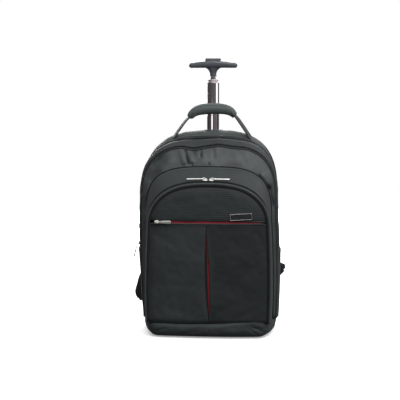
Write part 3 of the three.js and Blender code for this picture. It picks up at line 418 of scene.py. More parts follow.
def oval(wide, high, power=2.0):
    """A section for sweep: an oval of this width and height, or squarer with a higher power."""

    def section(share, angle):
        c, s = math.cos(angle), math.sin(angle)
        return (
            wide / 2 * math.copysign(abs(c) ** (2 / power), c),
            high / 2 * math.copysign(abs(s) ** (2 / power), s),
        )

    return section


def turned(profile, centre, axis="Z", steps=48):
    """A solid of revolution from pairs of radius and height along its axis."""
    bm = bmesh.new()
    verts = [bm.verts.new((r, 0, h)) for r, h in profile]
    edges = [bm.edges.new(pair) for pair in zip(verts, verts[1:])]
    bmesh.ops.spin(
        bm, geom=verts + edges, cent=(0, 0, 0), axis=(0, 0, 1), angle=2 * math.pi, steps=steps, use_merge=True
    )
    bmesh.ops.remove_doubles(bm, verts=bm.verts, dist=1e-6)
    bmesh.ops.recalc_face_normals(bm, faces=bm.faces)
    if axis == "X":
        bmesh.ops.rotate(bm, verts=bm.verts, matrix=Matrix.Rotation(math.pi / 2, 3, "Y"))
    bmesh.ops.translate(bm, verts=bm.verts, vec=centre)
    return bm


def block(low, high, bevel=0.0, segments=3):
    """A box between two corners, with rounded edges."""
    bm = bmesh.new()
    bmesh.ops.create_cube(bm, size=1)
    low, high = Vector(low), Vector(high)
    bmesh.ops.scale(bm, verts=bm.verts, vec=high - low)
    bmesh.ops.translate(bm, verts=bm.verts, vec=(low + high) / 2)
    if bevel:
        bmesh.ops.bevel(
            bm, geom=bm.edges, offset=bevel, segments=segments, profile=0.5, affect="EDGES", material=-1
        )
    return bm


def joined(*parts):
    """One bmesh that holds all the parts."""
    whole = bmesh.new()
    for part in parts:
        mesh = bpy.data.meshes.new("part")
        part.to_mesh(mesh)
        part.free()
        whole.from_mesh(mesh)
        bpy.data.meshes.remove(mesh)
    return whole


def moved(bm, matrix):
    bmesh.ops.transform(bm, matrix=matrix, verts=bm.verts)
    return bm


def copy_of(node):
    """A CAD node's mesh with its loose triangles merged and its flat faces joined."""
    bm = bmesh.new()
    bm.from_mesh(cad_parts[node].data)
    bmesh.ops.remove_doubles(bm, verts=bm.verts, dist=1e-6)
    bmesh.ops.dissolve_limit(bm, angle_limit=math.radians(1), verts=bm.verts, edges=bm.edges)
    return bm


def piece(name, bm, finish, body="bag", replaces=(), smooth=True, modifiers=()):
    """Makes an object of a bmesh, gives it its finish and lets it ride on its body."""
    mesh = bpy.data.meshes.new(name)
    bm.to_mesh(mesh)
    bm.free()
    for polygon in mesh.polygons:
        polygon.use_smooth = smooth
    made = bpy.data.objects.new(name, mesh)
    bpy.context.scene.collection.objects.link(made)
    made.data.materials.append(finish)
    for kind, settings in modifiers:
        modifier = made.modifiers.new(kind.title(), kind)
        for key, value in settings.items():
            setattr(modifier, key, value)
    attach(made, body)
    if replaces:
        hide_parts(*replaces)
    return made


def thicken(depth, offset=1.0):
    return ("SOLIDIFY", {"thickness": depth, "offset": offset, "use_even_offset": False})


def soften(width, segments=3):
    return (
        "BEVEL",
        {"width": width, "segments": segments, "limit_method": "ANGLE", "angle_limit": math.radians(35)},
    )


# Shader expressions.
class Shader:
    """A socket of a material's node tree, on which arithmetic adds Math nodes."""

    def __init__(self, tree, socket=None):
        self.tree = tree
        self.socket = socket

    def node(self, kind, inputs=None, output=0, stops=None, **settings):
        """Adds a node with these settings and these values or links at its sockets, and gives an output."""
        made = self.tree.nodes.new(kind)
        for key, value in settings.items():
            setattr(made, key, value)
        if stops:
            ramp = made.color_ramp
            while len(ramp.elements) < len(stops):
                ramp.elements.new(1.0)
            for element, (place, value) in zip(ramp.elements, stops):
                element.position = place
                element.color = (*value, 1) if hasattr(value, "__len__") else (value, value, value, 1)
        for key, value in (inputs or {}).items():
            if isinstance(value, Shader):
                self.tree.links.new(value.socket, made.inputs[key])
            else:
                made.inputs[key].default_value = value
        return Shader(self.tree, made.outputs[output])

    def math(self, operation, *values):
        return self.node("ShaderNodeMath", dict(enumerate(values)), operation=operation)

    def __add__(self, other):
        return self.math("ADD", self, other)

    def __radd__(self, other):
        return self.math("ADD", other, self)

    def __sub__(self, other):
        return self.math("SUBTRACT", self, other)

    def __rsub__(self, other):
        return self.math("SUBTRACT", other, self)

    def __mul__(self, other):
        return self.math("MULTIPLY", self, other)

    def __rmul__(self, other):
        return self.math("MULTIPLY", other, self)

    def __truediv__(self, other):
        return self.math("DIVIDE", self, other)

    def __pow__(self, other):
        return self.math("POWER", self, other)

    def wave(self):
        """From 0 to 1 and back for each whole step of the value."""
        return self.math("SINE", self * (2 * math.pi)) * 0.5 + 0.5

    def ramp(self, low, high):
        """0 below low, 1 above high and smooth between them."""
        inputs = {"Value": self, "From Min": low, "From Max": high}
        return self.node("ShaderNodeMapRange", inputs, interpolation_type="SMOOTHSTEP")

    def noise(self, scale, detail=2.0, rough=0.5):
        inputs = {"Vector": self, "Scale": scale, "Detail": detail, "Roughness": rough}
        return self.node("ShaderNodeTexNoise", inputs)

    def split(self):
        made = self.node("ShaderNodeSeparateXYZ", {0: self}).socket.node
        return [Shader(self.tree, made.outputs[i]) for i in range(3)]

    def stretched(self, x, y, z):
        return self.node("ShaderNodeMapping", {"Vector": self, "Scale": (x, y, z)})

    def mix(self, low, high):
        """A colour from low, where this is 0, to high, where it is 1."""
        inputs = {0: self}
        for index, value in ((6, low), (7, high)):
            inputs[index] = value if isinstance(value, Shader) else (*value, 1)
        return self.node("ShaderNodeMix", inputs, output=2, data_type="RGBA")

    def bump(self, strength, distance, below=None):
        inputs = {"Height": self, "Strength": strength, "Distance": distance}
        if below:
            inputs["Normal"] = below
        return self.node("ShaderNodeBump", inputs)


FINISHES = {}


def finish(name, paint):
    """The material of this name, with its Principled BSDF's sockets set from paint(shader) the first time."""
    if name not in FINISHES:
        made = bpy.data.materials.new(name)
        made.use_nodes = True
        principled = made.node_tree.nodes["Principled BSDF"]
        for socket, value in paint(Shader(made.node_tree)).items():
            if isinstance(value, Shader):
                made.node_tree.links.new(value.socket, principled.inputs[socket])
            elif hasattr(value, "__len__") and len(value) == 3:
                principled.inputs[socket].default_value = (*value, 1)
            else:
                principled.inputs[socket].default_value = value
        FINISHES[name] = made
    return FINISHES[name]


def shade(colour, factor):
    return tuple(clamp(c * factor) for c in colour)


def object_place(s):
    return s.node("ShaderNodeTexCoord", output=3)


def uv_place(s):
    return s.node("ShaderNodeUVMap", uv_map="UVMap")


def cloth(name, colour, pitch=0.0011, rough=0.6, sheen=0.04, contrast=0.3, ribs=0.0, grain=0.35, gloss=0.2):
    """Woven cloth: diagonal twill threads, mottling, slight wear and, where ribs is set, ribs that far apart."""

    def paint(s):
        u, v, _ = uv_place(s).split()
        where = object_place(s)
        warp = ((u + v) / pitch).wave()
        weft = ((u - v) / (pitch * 0.5)).wave()
        threads = warp * 0.75 + weft * 0.25
        mottle = where.noise(34, 3, 0.6)
        broad = where.noise(9, 2, 0.5)
        lint = where.noise(900, 2, 0.6).ramp(0.62, 0.8)
        tone = (threads - 0.5) * contrast * 0.5 + (mottle - 0.5) * 0.5 + (broad - 0.5) * 0.7 + 0.5
        height = threads * 1.0 + where.noise(500, 2, 0.6) * 0.6
        if ribs:
            rib = (v / ribs).wave() ** 0.7
            tone = tone + (rib - 0.5) * 0.35
            height = height + rib * 3.0
        plain = tone.mix(shade(colour, 0.68), shade(colour, 1.34))
        worn = (lint * 0.35).mix(plain, shade(colour, 2.2))
        normal = height.bump(grain, 0.00025, (mottle + broad).bump(0.25, 0.002))
        return {
            "Base Color": worn,
            "Roughness": (mottle - 0.5) * 0.25 + rough,
            "Normal": normal,
            "Sheen Weight": sheen,
            "Sheen Roughness": 0.4,
            "Specular IOR Level": gloss,
        }

    return finish(name, paint)


def webbing_cloth(name, colour):
    """Strong woven tape: ribs across it and chevrons along it."""

    def paint(s):
        u, v, _ = uv_place(s).split()
        where = object_place(s)
        ribs = (u / 0.0016).wave()
        chevron = ((v / 0.004).wave() * 0.6 + u / 0.0021).wave()
        height = ribs * 0.6 + chevron * 0.7
        tone = height * 0.45 + where.noise(60, 2) * 0.5
        return {
            "Base Color": tone.mix(shade(colour, 0.55), shade(colour, 1.5)),
            "Roughness": 0.7 - height * 0.1,
            "Normal": height.bump(0.5, 0.0004),
            "Sheen Weight": 0.04,
            "Specular IOR Level": 0.2,
        }

    return finish(name, paint)


def mesh_cloth(name, colour):
    """Spacer mesh: a knit of small open cells over foam."""

    def paint(s):
        u, v, _ = uv_place(s).split()
        where = object_place(s)
        row = (v / 0.0032).math("FLOOR")
        across = (u / 0.0034 + row * 0.5).wave()
        down = (v / 0.0032).wave()
        hole = (across * down).ramp(0.45, 0.75)
        tone = where.noise(40, 2)
        knit = tone.mix(shade(colour, 0.9), shade(colour, 1.7))
        return {
            "Base Color": hole.mix(knit, shade(colour, 0.25)),
            "Roughness": 0.85,
            "Normal": (1 - hole).bump(0.6, 0.0006),
            "Sheen Weight": 0.05,
            "Specular IOR Level": 0.15,
        }

    return finish(name, paint)


def moulded(name, colour, rough=0.42, grain=0.12, coat=0.0):
    """Moulded plastic or rubber: fine grain, faint scuffs and handling marks."""

    def paint(s):
        where = object_place(s)
        fine = where.noise(1600, 2, 0.6)
        cloudy = where.noise(28, 3, 0.6)
        scuff = where.stretched(1, 1, 0.25).noise(260, 3, 0.7).ramp(0.66, 0.78)
        plain = cloudy.mix(shade(colour, 0.86), shade(colour, 1.16))
        return {
            "Base Color": (scuff * 0.1).mix(plain, shade(colour, 1.7)),
            "Roughness": (cloudy - 0.5) * 0.14 + scuff * 0.06 + rough,
            "Normal": fine.bump(grain, 0.0003),
            "Coat Weight": coat,
        }

    return finish(name, paint)


def metal(name, colour, rough=0.14, brushed=0.0):
    """Plated metal with faint smears, brushed along Z where asked."""

    def paint(s):
        where = object_place(s)
        smear = where.noise(22, 3, 0.6)
        fine = where.stretched(1, 1, 0.02).noise(900, 2, 0.6)
        return {
            "Base Color": smear.mix(shade(colour, 0.92), shade(colour, 1.05)),
            "Metallic": 1.0,
            "Roughness": (smear - 0.5) * 0.08 + fine * 0.04 + rough,
            "Normal": fine.bump(brushed, 0.0001),
        }

    return finish(name, paint)


def twill():
    return cloth("twill cloth", colours().twill)


# A darker copy of the twill; the darkening is painted shade along the seams.
def piping_cloth():
    return cloth("piping cloth", shade(colours().twill, 0.8), pitch=0.0009, rough=0.55, grain=0.3)


def lining_cloth():
    return cloth("red lining", colours().lining, pitch=0.0008, rough=0.42, contrast=0.15)


def pleat_cloth():
    """The lining's red, with painted shadow down its left side."""

    def paint(s):
        across = uv_place(s).split()[0]
        where = object_place(s)
        weave = (where.split()[2] / 0.0008).wave() * (where.split()[0] / 0.0008).wave()
        # Painted shadow: the seam shadow colour over the left of the lining, red to the right.
        fold_shadow = across.ramp(0.46, 0.60) * 0.98 + 0.02
        tone = where.noise(60, 2) * 0.3
        red = tone.mix(shade(colours().lining, 1.1), shade(colours().lining, 1.5))
        return {
            "Base Color": fold_shadow.mix(colours().seam, red),
            "Roughness": 0.5 - weave * 0.05,
            "Normal": weave.bump(0.3, 0.0002),
            "Specular IOR Level": 0.2,
        }

    return finish("pleat cloth painted shadow", paint)


def tape_cloth():
    return cloth("zip tape", shade(colours().webbing, 0.5), pitch=0.0009, rough=0.75)


def webbing():
    return webbing_cloth("webbing", colours().webbing)


def spacer_mesh():
    return mesh_cloth("spacer mesh", colours().mesh)


def slate_plastic():
    return moulded("slate plastic", colours().slate, rough=0.36)


def black_plastic():
    return moulded("black plastic", colours().black, rough=0.5, grain=0.25)


def zip_plastic():
    return moulded("zip plastic", shade(colours().seam, 1.6), rough=0.85)


def rubber():
    return moulded("tyre rubber", colours().rubber, rough=0.72, grain=0.3)


def chrome():
    return metal("chromed tube", colours().chrome, rough=0.05)


def dark_chrome():
    return metal("dark chrome", shade(colours().chrome, 0.34), rough=0.3)


def nickel():
    return metal("bright nickel", colours().nickel, rough=0.3)


# Shell pieces.
CROWNS = {"rear": (0.003, 0.010), "main": (0.003, 0.003), "pocket": (0.003, 0.003)}


def band_point(start, end, crown, u, v, lift=0.0):
    """A point of a gusset: u along the seams and v from one to the other, lifted off its face."""
    side, top = CROWNS[crown]
    away = outward(start, u).lerp(outward(end, u), v).normalized()
    bulge = lerp(side, top, away.z**2 if away.z > 0 else 0) * math.sin(math.pi * v)
    return seam_line(start).at(u).lerp(seam_line(end).at(u), v) + away * (bulge + lift)


class BuildGussets(bpy.types.Operator):
    """Make the rear, main and organiser gussets"""

    bl_idname = "backpack.gussets"
    bl_label = "Gussets"

    def execute(self, context):
        trim = 0.004
        looks = {
            "rear_band": ("back", "rear", "rear", "rear_gusset", 26, 0.0016),
            "main_band": ("rear", "main", "main", "main_gusset", 26, 0.0010),
            "organiser_band": ("pocket_back", "pocket_front", "pocket", "organiser_gusset", 22, 0.0006),
        }
        cloths = {
            # The rear cloth is lighter as painted light on the bag's top; the main gusset cloth is a darker copy of
            # the satin, as painted shade on the sides.
            "rear_band": cloth("rear cloth", colours().rear),
            "main_band": cloth("main gusset cloth painted shade", shade(colours().satin, 0.85)),
            "organiser_band": cloth("ribbed cloth", colours().ribbed, ribs=0.0042),
        }
        for name, (start, end, crown, node, rows, rumple) in looks.items():
            wide = (seam_line(start).at(0.25) - seam_line(end).at(0.25)).length

            def place(u, v, start=start, end=end, crown=crown, rumple=rumple, name=name):
                share = lerp(trim, 1 - trim, v)
                p = band_point(start, end, crown, u, share)
                edge = math.sin(math.pi * v) ** 0.5
                lift = unevenness(p.x, p.y, p.z, 0.03, rumple, 3.0) * edge
                lift += unevenness(p.x, p.y, p.z, 0.011, rumple * 0.4, 7.0) * edge
                if name == "main_band":
                    lift += 0.0012 * math.cos(2 * math.pi * (v - 0.5) * 1.5) * edge
                return p + outward(start, u) * lift

            bm = grid(280, rows, place, (seam_line(start).length, wide))
            modifiers = [thicken(sizes().fabric, -1)]
            if name == "rear_band":
                bm = with_hole(bm)
            bmesh.ops.recalc_face_normals(bm, faces=bm.faces)
            piece(name, bm, cloths[name], replaces=[node], modifiers=modifiers)
        return {"FINISHED"}


def with_hole(bm):
    """The rear gusset with the faces over the pole's mouth taken out and the hole's edge drawn round the pole."""
    low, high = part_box("pole_sleeve")
    centre = (low + high) / 2
    half = (high - low) / 2
    wide, deep = half.x + 0.0006, half.y + 0.0006

    def off(p):
        return math.hypot((p.x - centre.x) / wide, (p.y - centre.y) / deep)

    gone = [f for f in bm.faces if f.calc_center_median().z > high.z - 0.03 and off(f.calc_center_median()) < 1]
    bmesh.ops.delete(bm, geom=gone, context="FACES")
    for vert in bm.verts:
        if any(e.is_boundary for e in vert.link_edges) and vert.co.z > high.z - 0.03 and off(vert.co) < 1.4:
            angle = math.atan2((vert.co.y - centre.y) / deep, (vert.co.x - centre.x) / wide)
            vert.co.x = centre.x + wide * math.cos(angle)
            vert.co.y = centre.y + deep * math.sin(angle)
    return bm


class BuildMainPanel(bpy.types.Operator):
    """Make the main front panel, with the creases under its seam"""

    bl_idname = "backpack.main_panel"
    bl_label = "Main panel"

    def execute(self, context):
        ring = Line(main_ring() + [main_ring()[0]])
        middle = main_middle()
        over = [i / 400 for i in range(401) if ring.at(i / 400).z > 0.3]

        def place(u, v):
            turned_by = u / 0.12 * over[0] if u < 0.12 else lerp(over[0], over[-1], (u - 0.12) / 0.72)
            if u > 0.84:
                turned_by = lerp(over[-1], 1, (u - 0.84) / 0.16)
            share = 1 - 0.32 * v / 0.8 if v < 0.8 else 0.68 * (1 - v) / 0.2
            edge = ring.at(turned_by)
            x, z = edge.x * share, middle + (edge.z - middle) * share
            inside = smoothstep(1 - share, 0, 0.03)
            y = seam_y("main", z) - sizes().gap - sizes().main_crown * (1 - share**9)
            y += crease_depth(MAIN_CREASES, x, z) * inside
            y += (unevenness(x, 0, z, 0.045, 0.0026, 1.0) + unevenness(x, 0, z, 0.016, 0.0008, 5.0)) * inside
            return Vector((x, y, z))

        bm = grid(480, 75, place, (ring.length, 0.19))
        bmesh.ops.remove_doubles(bm, verts=bm.verts, dist=1e-5)
        uv = bm.loops.layers.uv.active
        for face in bm.faces:
            for loop in face.loops:
                loop[uv].uv = (loop.vert.co.x, loop.vert.co.z)
        bmesh.ops.recalc_face_normals(bm, faces=bm.faces)
        face_forwards(bm)
        # The satin cloth's lighter colour is painted light on the up-facing main panel; its gloss comes from the
        # shader.
        piece(
            "main_panel",
            bm,
            cloth("satin cloth painted lit", colours().satin, rough=0.46, contrast=0.2, sheen=0.06, gloss=0.4),
            replaces=["main_front_panel"],
            modifiers=[thicken(sizes().fabric, 1)],
        )
        return {"FINISHED"}


def face_forwards(bm):
    """Turns an open sheet's faces to look towards -Y."""
    facing = sum(f.normal.y * f.calc_area() for f in bm.faces)
    if facing > 0:
        bmesh.ops.reverse_faces(bm, faces=bm.faces)


def pleat_half(z):
    """Half the pleat's mouth at a height."""
    low, high = sizes().seam_z + 0.012, sizes().slit_z - 0.010
    share = clamp((z - low) / (high - low))
    return sizes().gap / 2 + sizes().pleat_width / 2 * math.sin(math.pi * share**0.8) ** 1.3


def pleat_middle(z):
    """How far the pleat leans: to the left at its top and to the right at its foot."""
    return lerp(0.0025, -0.0036, clamp((z - 0.041) / 0.189))


def pocket_edge(z):
    """Half the width of the organiser's front panel at a height."""
    table = LOOPS.setdefault("pocket_edge", half_loop("pocket_front"))
    for (x0, z0), (x1, z1) in zip(table, table[1:]):
        if z0 <= z <= z1 and z1 > z0:
            return lerp(x0, x1, (z - z0) / (z1 - z0))
    return table[-1][0] if z > table[-1][1] else table[0][0]


class BuildFrontPanels(bpy.types.Operator):
    """Make the organiser's front panels, with the slit's lips and the pleat"""

    bl_idname = "backpack.front_panels"
    bl_label = "Front panels"

    def execute(self, context):
        foot = sizes().seam_z + sizes().gap
        slit_low = sizes().slit_z - sizes().slit_open / 2
        slit_high = sizes().slit_z + sizes().slit_open / 2
        top = top_of("pocket_front") - sizes().gap
        edge = [seam_line("pocket_front").at(i / 160) for i in range(161)]

        def from_edge(x, z):
            return min(math.hypot(p.x - x, p.z - z) for p in edge)

        halves = {
            "front_upper": (slit_high, top, lambda z: -pocket_edge(z), pocket_edge),
            "front_lower_left": (foot, slit_low, lambda z: -pocket_edge(z), lambda z: pleat_middle(z) - pleat_half(z)),
            "front_lower_right": (foot, slit_low, lambda z: pleat_middle(z) + pleat_half(z), pocket_edge),
        }
        # Painted light and shade: the front cloth is darker for the forward faces, the lower left copy lighter as
        # painted light and the lower right copy darker as painted shade.
        painted_tones = {
            "front_upper": cloth("ribbed front cloth", colours().front, ribs=0.0042),
            "front_lower_left": cloth("front cloth left painted lit", shade(colours().front, 1.22)),
            "front_lower_right": cloth("front cloth right painted shade", shade(colours().front, 0.74)),
        }
        nodes = {
            "front_upper": "front_panel_upper",
            "front_lower_left": "front_panel_lower_left",
            "front_lower_right": "front_panel_lower_right",
        }
        for name, (low, high, left, right) in halves.items():

            def place(u, v, name=name, low=low, high=high, left=left, right=right):
                z = lerp(low, high, v)
                x = lerp(left(z), right(z), u)
                y = front_panel_y(x, z)
                rim = smoothstep(min(u, 1 - u), 0, 0.05)
                if name == "front_upper":
                    z -= 0.0034 * smoothstep(x, 0.045, 0.115) * (1 - smoothstep(v, 0, 0.1))
                    y += 0.0012 * math.exp(-(((z - low) / 0.004) ** 2))
                    rim *= smoothstep(high - z, 0, 0.012)
                else:
                    mouth = abs(x - pleat_middle(z)) - pleat_half(z)
                    open_here = pleat_half(z) / (sizes().pleat_width / 2)
                    if name == "front_lower_left":
                        y += open_here * (0.0034 * math.exp(-mouth / 0.0035) - 0.0012 * math.exp(-((mouth / 0.02) ** 2)))
                    else:
                        y -= 0.0036 * open_here * math.exp(-((mouth / 0.007) ** 2))
                    y -= 0.0012 * math.exp(-(((high - z) / 0.005) ** 2))
                    y += 0.0040 * math.exp(-(((z - foot) / 0.0048) ** 2))
                y += 0.0040 * math.exp(-((from_edge(x, z) / 0.0075) ** 1.5))
                y += crease_depth(FRONT_CREASES, x, z) * rim
                y += unevenness(x, 0, z, 0.05, 0.0016, 2.0) * rim
                y += unevenness(x, 0, z, 0.014, 0.0005, 9.0) * rim
                return Vector((x, y, z))

            columns = 150 if name == "front_upper" else 90
            bm = grid(columns, 90, place, (0.26 if name == "front_upper" else 0.13, high - low))
            bmesh.ops.recalc_face_normals(bm, faces=bm.faces)
            face_forwards(bm)
            surface = BVHTree.FromBMesh(bm)
            into, lift = Vector((0, 1, 0)), sizes().fabric + 0.0001
            level = high - 0.0052 if name != "front_upper" else low + 0.0042
            ends = (lerp(left(level), right(level), 0.05), lerp(left(level), right(level), 0.95))
            flat = [(lerp(*ends, i / 100), 0, level) for i in range(101)]
            rows = [laid_row(surface, flat, into, lift)]
            if name != "front_upper":
                way = -1 if name.endswith("left") else 1
                levels = [lerp(foot + 0.008, high - 0.012, i / 120) for i in range(121)]
                beside = [(pleat_middle(z) + way * (pleat_half(z) + 0.0036), 0, z) for z in levels]
                rows.append(laid_row(surface, beside, into, lift))
            stitches(f"stitches_{name}", rows)
            piece(name, bm, painted_tones[name], replaces=[nodes[name]], modifiers=[thicken(sizes().fabric, 1)])
        # The rolled lip is a lighter copy of the twill, as painted highlight along the slit's lower edge.
        lip = sweep(slit_lip(), oval(0.0022, 0.0026), 160, 10, turn=forwards)
        piece("slit_lip", lip, cloth("slit lip painted highlight", shade(colours().twill, 1.7)))
        return {"FINISHED"}


def slit_lip():
    """The rolled edge along the slit's lower side."""
    z = sizes().slit_z - sizes().slit_open / 2 - 0.0004
    reach = pocket_edge(z) - 0.004
    points = []
    for i in range(161):
        x = lerp(-reach, reach, i / 160)
        points.append((x, front_panel_y(x, z) - sizes().fabric - 0.0010, z))
    return Line(points)


class BuildLinings(bpy.types.Operator):
    """Make the red linings behind the slit and the pleat"""

    bl_idname = "backpack.linings"
    bl_label = "Linings"

    def execute(self, context):
        back = sizes().fabric / 2 + 0.0005
        for name, node in (("slit_lining", "pocket_lining"), ("pleat_lining", "pleat_insert")):
            low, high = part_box(node)

            def place(u, v, low=low, high=high, name=name):
                z = lerp(low.z, high.z, v)
                x = lerp(low.x, high.x, u)
                if name == "slit_lining":
                    wave = 0.0004 * math.sin(x / 0.009)
                else:
                    x += pleat_middle(z)
                    wave = 0.0003 * math.sin(z / 0.012)
                return Vector((x, front_panel_y(x, z) + back + wave, z))

            across = name == "slit_lining"
            bm = grid(120 if across else 12, 16 if across else 90, place, (0.24 if across else 1.0, 0.2))
            bmesh.ops.recalc_face_normals(bm, faces=bm.faces)
            face_forwards(bm)
            look = lining_cloth() if across else pleat_cloth()
            piece(name, bm, look, replaces=[node], modifiers=[thicken(0.0008, -1)])
        return {"FINISHED"}


class BuildBase(bpy.types.Operator):
    """Make the cloth-covered base"""

    bl_idname = "backpack.base"
    bl_label = "Base"

    def execute(self, context):
        levels = ((0.0, 18), (0.0012, 13), (0.004, 8.4), (0.008, 5), (0.013, 2.6), (0.02, 1.0), (0.034, 0.0))
        heights = Line([(inset * MM, 0, z) for z, inset in levels]).smoothed(3)
        outline = tray_outline()
        centre = Vector((0, -0.02, 0))

        def place(u, v):
            at = heights.at(v)
            inset, z = at.x, lerp(0.0019, 0.034, at.z / 0.034)
            u = u % 1
            p = outline.at(u)
            front = smoothstep(-p.y, 0.03, 0.085)
            rise = front * (0.0056 * smoothstep(p.x, 0.0, 0.135) - 0.0012 * math.exp(-(((p.x + 0.05) / 0.05) ** 2)))
            z += rise * (at.z / 0.034) ** 2
            side = outline.tangent(u)
            inward = Vector((-side.y, side.x, 0))
            if inward.dot(centre - p) < 0:
                inward.negate()
            back = smoothstep(p.y, 0.049, 0.0515)
            p = p + inward * inset * (1 - back)
            body = math.sin(math.pi * clamp(z / 0.034))
            tuck = 0.0030 * math.exp(-(((0.034 + rise - z) / 0.0045) ** 2))
            p = p + inward * max(0, tuck - rise * 0.5) * (1 - back)
            rumple = unevenness(p.x, p.y, z, 0.028, 0.0016, 4.0) + unevenness(p.x, p.y, z, 0.010, 0.0006, 6.0)
            dent = crease_depth(BASE_CREASES, p.x, z) if p.y < -0.05 else 0.0
            if p.y < 0:
                dent += 0.0012 * math.exp(-(((p.x - pleat_middle(0)) / 0.0016) ** 2))
            away = -inward * ((rumple + 0.0008) * body * (1 - back)) + inward * dent * body
            return Vector((p.x + away.x, p.y + away.y, z))

        wall = grid(360, 30, place, (outline.length, 0.06))
        bmesh.ops.remove_doubles(wall, verts=wall.verts, dist=1e-5)
        foot = [e for e in wall.edges if e.is_boundary and all(v.co.z < 0.00191 for v in e.verts)]
        bmesh.ops.holes_fill(wall, edges=foot, sides=0)
        bmesh.ops.recalc_face_normals(wall, faces=wall.faces)
        piece(
            "base_shell",
            wall,
            cloth("base cloth", shade(colours().twill, 1.35)),
            replaces=["base_tray"],
            modifiers=[thicken(sizes().fabric, -1)],
        )
        return {"FINISHED"}


BASE_CREASES = (
    (96, 30, 122, 17, 3.5, 2.6),
    (104, 24, 124, 24, 3, 1.8),
    (88, 27, 108, 12, 3, 1.4),
    (-122, 12, -96, 22, 4, 1.4),
    (-60, 10, -30, 16, 5, 0.9),
)


def tray_outline():
    """The base's outline, closed, seen from above."""
    low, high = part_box("base_tray")
    front_half = half_width_of(SEAMS["pocket_front"]["foot"])
    main_half = half_width_of(SEAMS["main"]["foot"])
    rear_half = half_width_of(SEAMS["rear"]["foot"])
    main_y = seam_y("main", sizes().seam_z)
    front_y = seam_y("pocket_front", sizes().seam_z) - sizes().gap - sizes().fabric
    corner = 0.018
    crown = sizes().front_crown
    right = [
        (0, front_y - crown * 1.0, 0),
        (front_half * 0.5, front_y - crown * 0.82, 0),
        (front_half - corner, front_y - crown * 0.25, 0),
        (front_half - corner * 0.3, front_y + corner * 0.2, 0),
        (front_half + corner / 6, front_y + corner, 0),
        (main_half, main_y, 0),
        (rear_half, high.y - 0.004, 0),
        (rear_half, high.y, 0),
        (rear_half * 0.5, high.y, 0),
        (0, high.y, 0),
    ]
    left = [(-x, y, z) for x, y, z in right[-2:0:-1]]
    return Line(right + left + [right[0]]).smoothed(2)


def along_seam(seam, out, y=0.0, start=0.0, end=1.0):
    """A line beside a seam loop, this far out from it and moved along Y."""
    line = seam_line(seam)
    shares = [lerp(start, end, i / 400) for i in range(401)]
    return Line([line.at(u) + outward(seam, u) * out + Vector((0, y, 0)) for u in shares])


def forwards(u):
    return Vector((0, 1, 0))


class BuildPiping(bpy.types.Operator):
    """Make the piping round the seams and the binding round the front pocket"""

    bl_idname = "backpack.piping"
    bl_label = "Piping"

    def execute(self, context):
        radius = sizes().piping
        # dark is the seam shadow colour; laid as flat strips beside the seams, it paints the shade in their grooves.
        dark = cloth("seam tape and groove shade", colours().seam)
        lines = {
            "piping_at_back": (along_seam("back", 0.002, 0.002), "piping_back"),
            "piping_at_rear": (along_seam("rear", 0.0016), "piping_rear"),
            "piping_at_main": (along_seam("main", 0.0014, -0.0012), "piping_main"),
        }
        for name, (line, node) in lines.items():
            bm = sweep(line, oval(2 * radius, 2 * radius), 320, 10, turn=forwards)
            piece(name, bm, piping_cloth(), replaces=[node])
        for name, line, section in (
            ("groove_shade_at_rear", along_seam("rear", 0.0004), oval(0.0010, 0.0078, 4)),
            ("groove_shade_at_main", along_seam("main", 0.0002, -0.0008), oval(0.0010, 0.0068, 4)),
            ("groove_shade_at_pocket", along_seam("pocket_back", 0.0020, -0.0002, 0.3, 1.0), oval(0.0052, 0.0012, 4)),
            ("groove_shade_at_back", along_seam("back", 0.0006, 0.0008), oval(0.0090, 0.0012, 4)),
            ("groove_shade_at_front", along_seam("pocket_front", 0.0010, -0.0004), oval(0.0042, 0.0016, 4)),
        ):
            piece(name, sweep(line, section, 320, 8, turn=forwards), dark)
        # The rim is a lighter copy of the ribbed cloth, as painted highlight below the groove's shade.
        rim = sweep(along_seam("pocket_back", -0.0006, -0.0030), oval(0.0034, 0.0040), 320, 10, turn=forwards)
        piece("pocket_rim", rim, cloth("ribbed rim painted highlight", shade(colours().ribbed, 1.7)))
        # The binding is a lighter copy of the twill, as painted highlight along the pocket's edge.
        edge = sweep(along_seam("pocket_front", 0.0050, 0.0006), oval(0.0050, 0.0054), 320, 12, turn=forwards)
        bead_highlight = cloth("binding bead painted highlight", shade(colours().twill, 1.65))
        piece("binding_organiser", edge, bead_highlight, replaces=["piping_organiser"])
        return {"FINISHED"}


ZIPS = {
    "rear_compartment": ("rear", "main", "main", 0.16, 0.216),
    "main_compartment": ("rear", "main", "main", 0.84, 0.194),
    "organiser": ("pocket_back", "pocket_front", "pocket", 0.8, 0.062),
}


def zip_line(name, lift):
    """A zip's middle line on its gusset, with the way out at each point."""
    start, end, crown, at, low = ZIPS[name]
    line = seam_line(start)
    shares = [i / 600 for i in range(601) if line.at(i / 600).z > low]
    points = [band_point(start, end, crown, u, at, lift) for u in shares]
    ways = [outward(start, u) for u in shares]
    return Line(points), ways


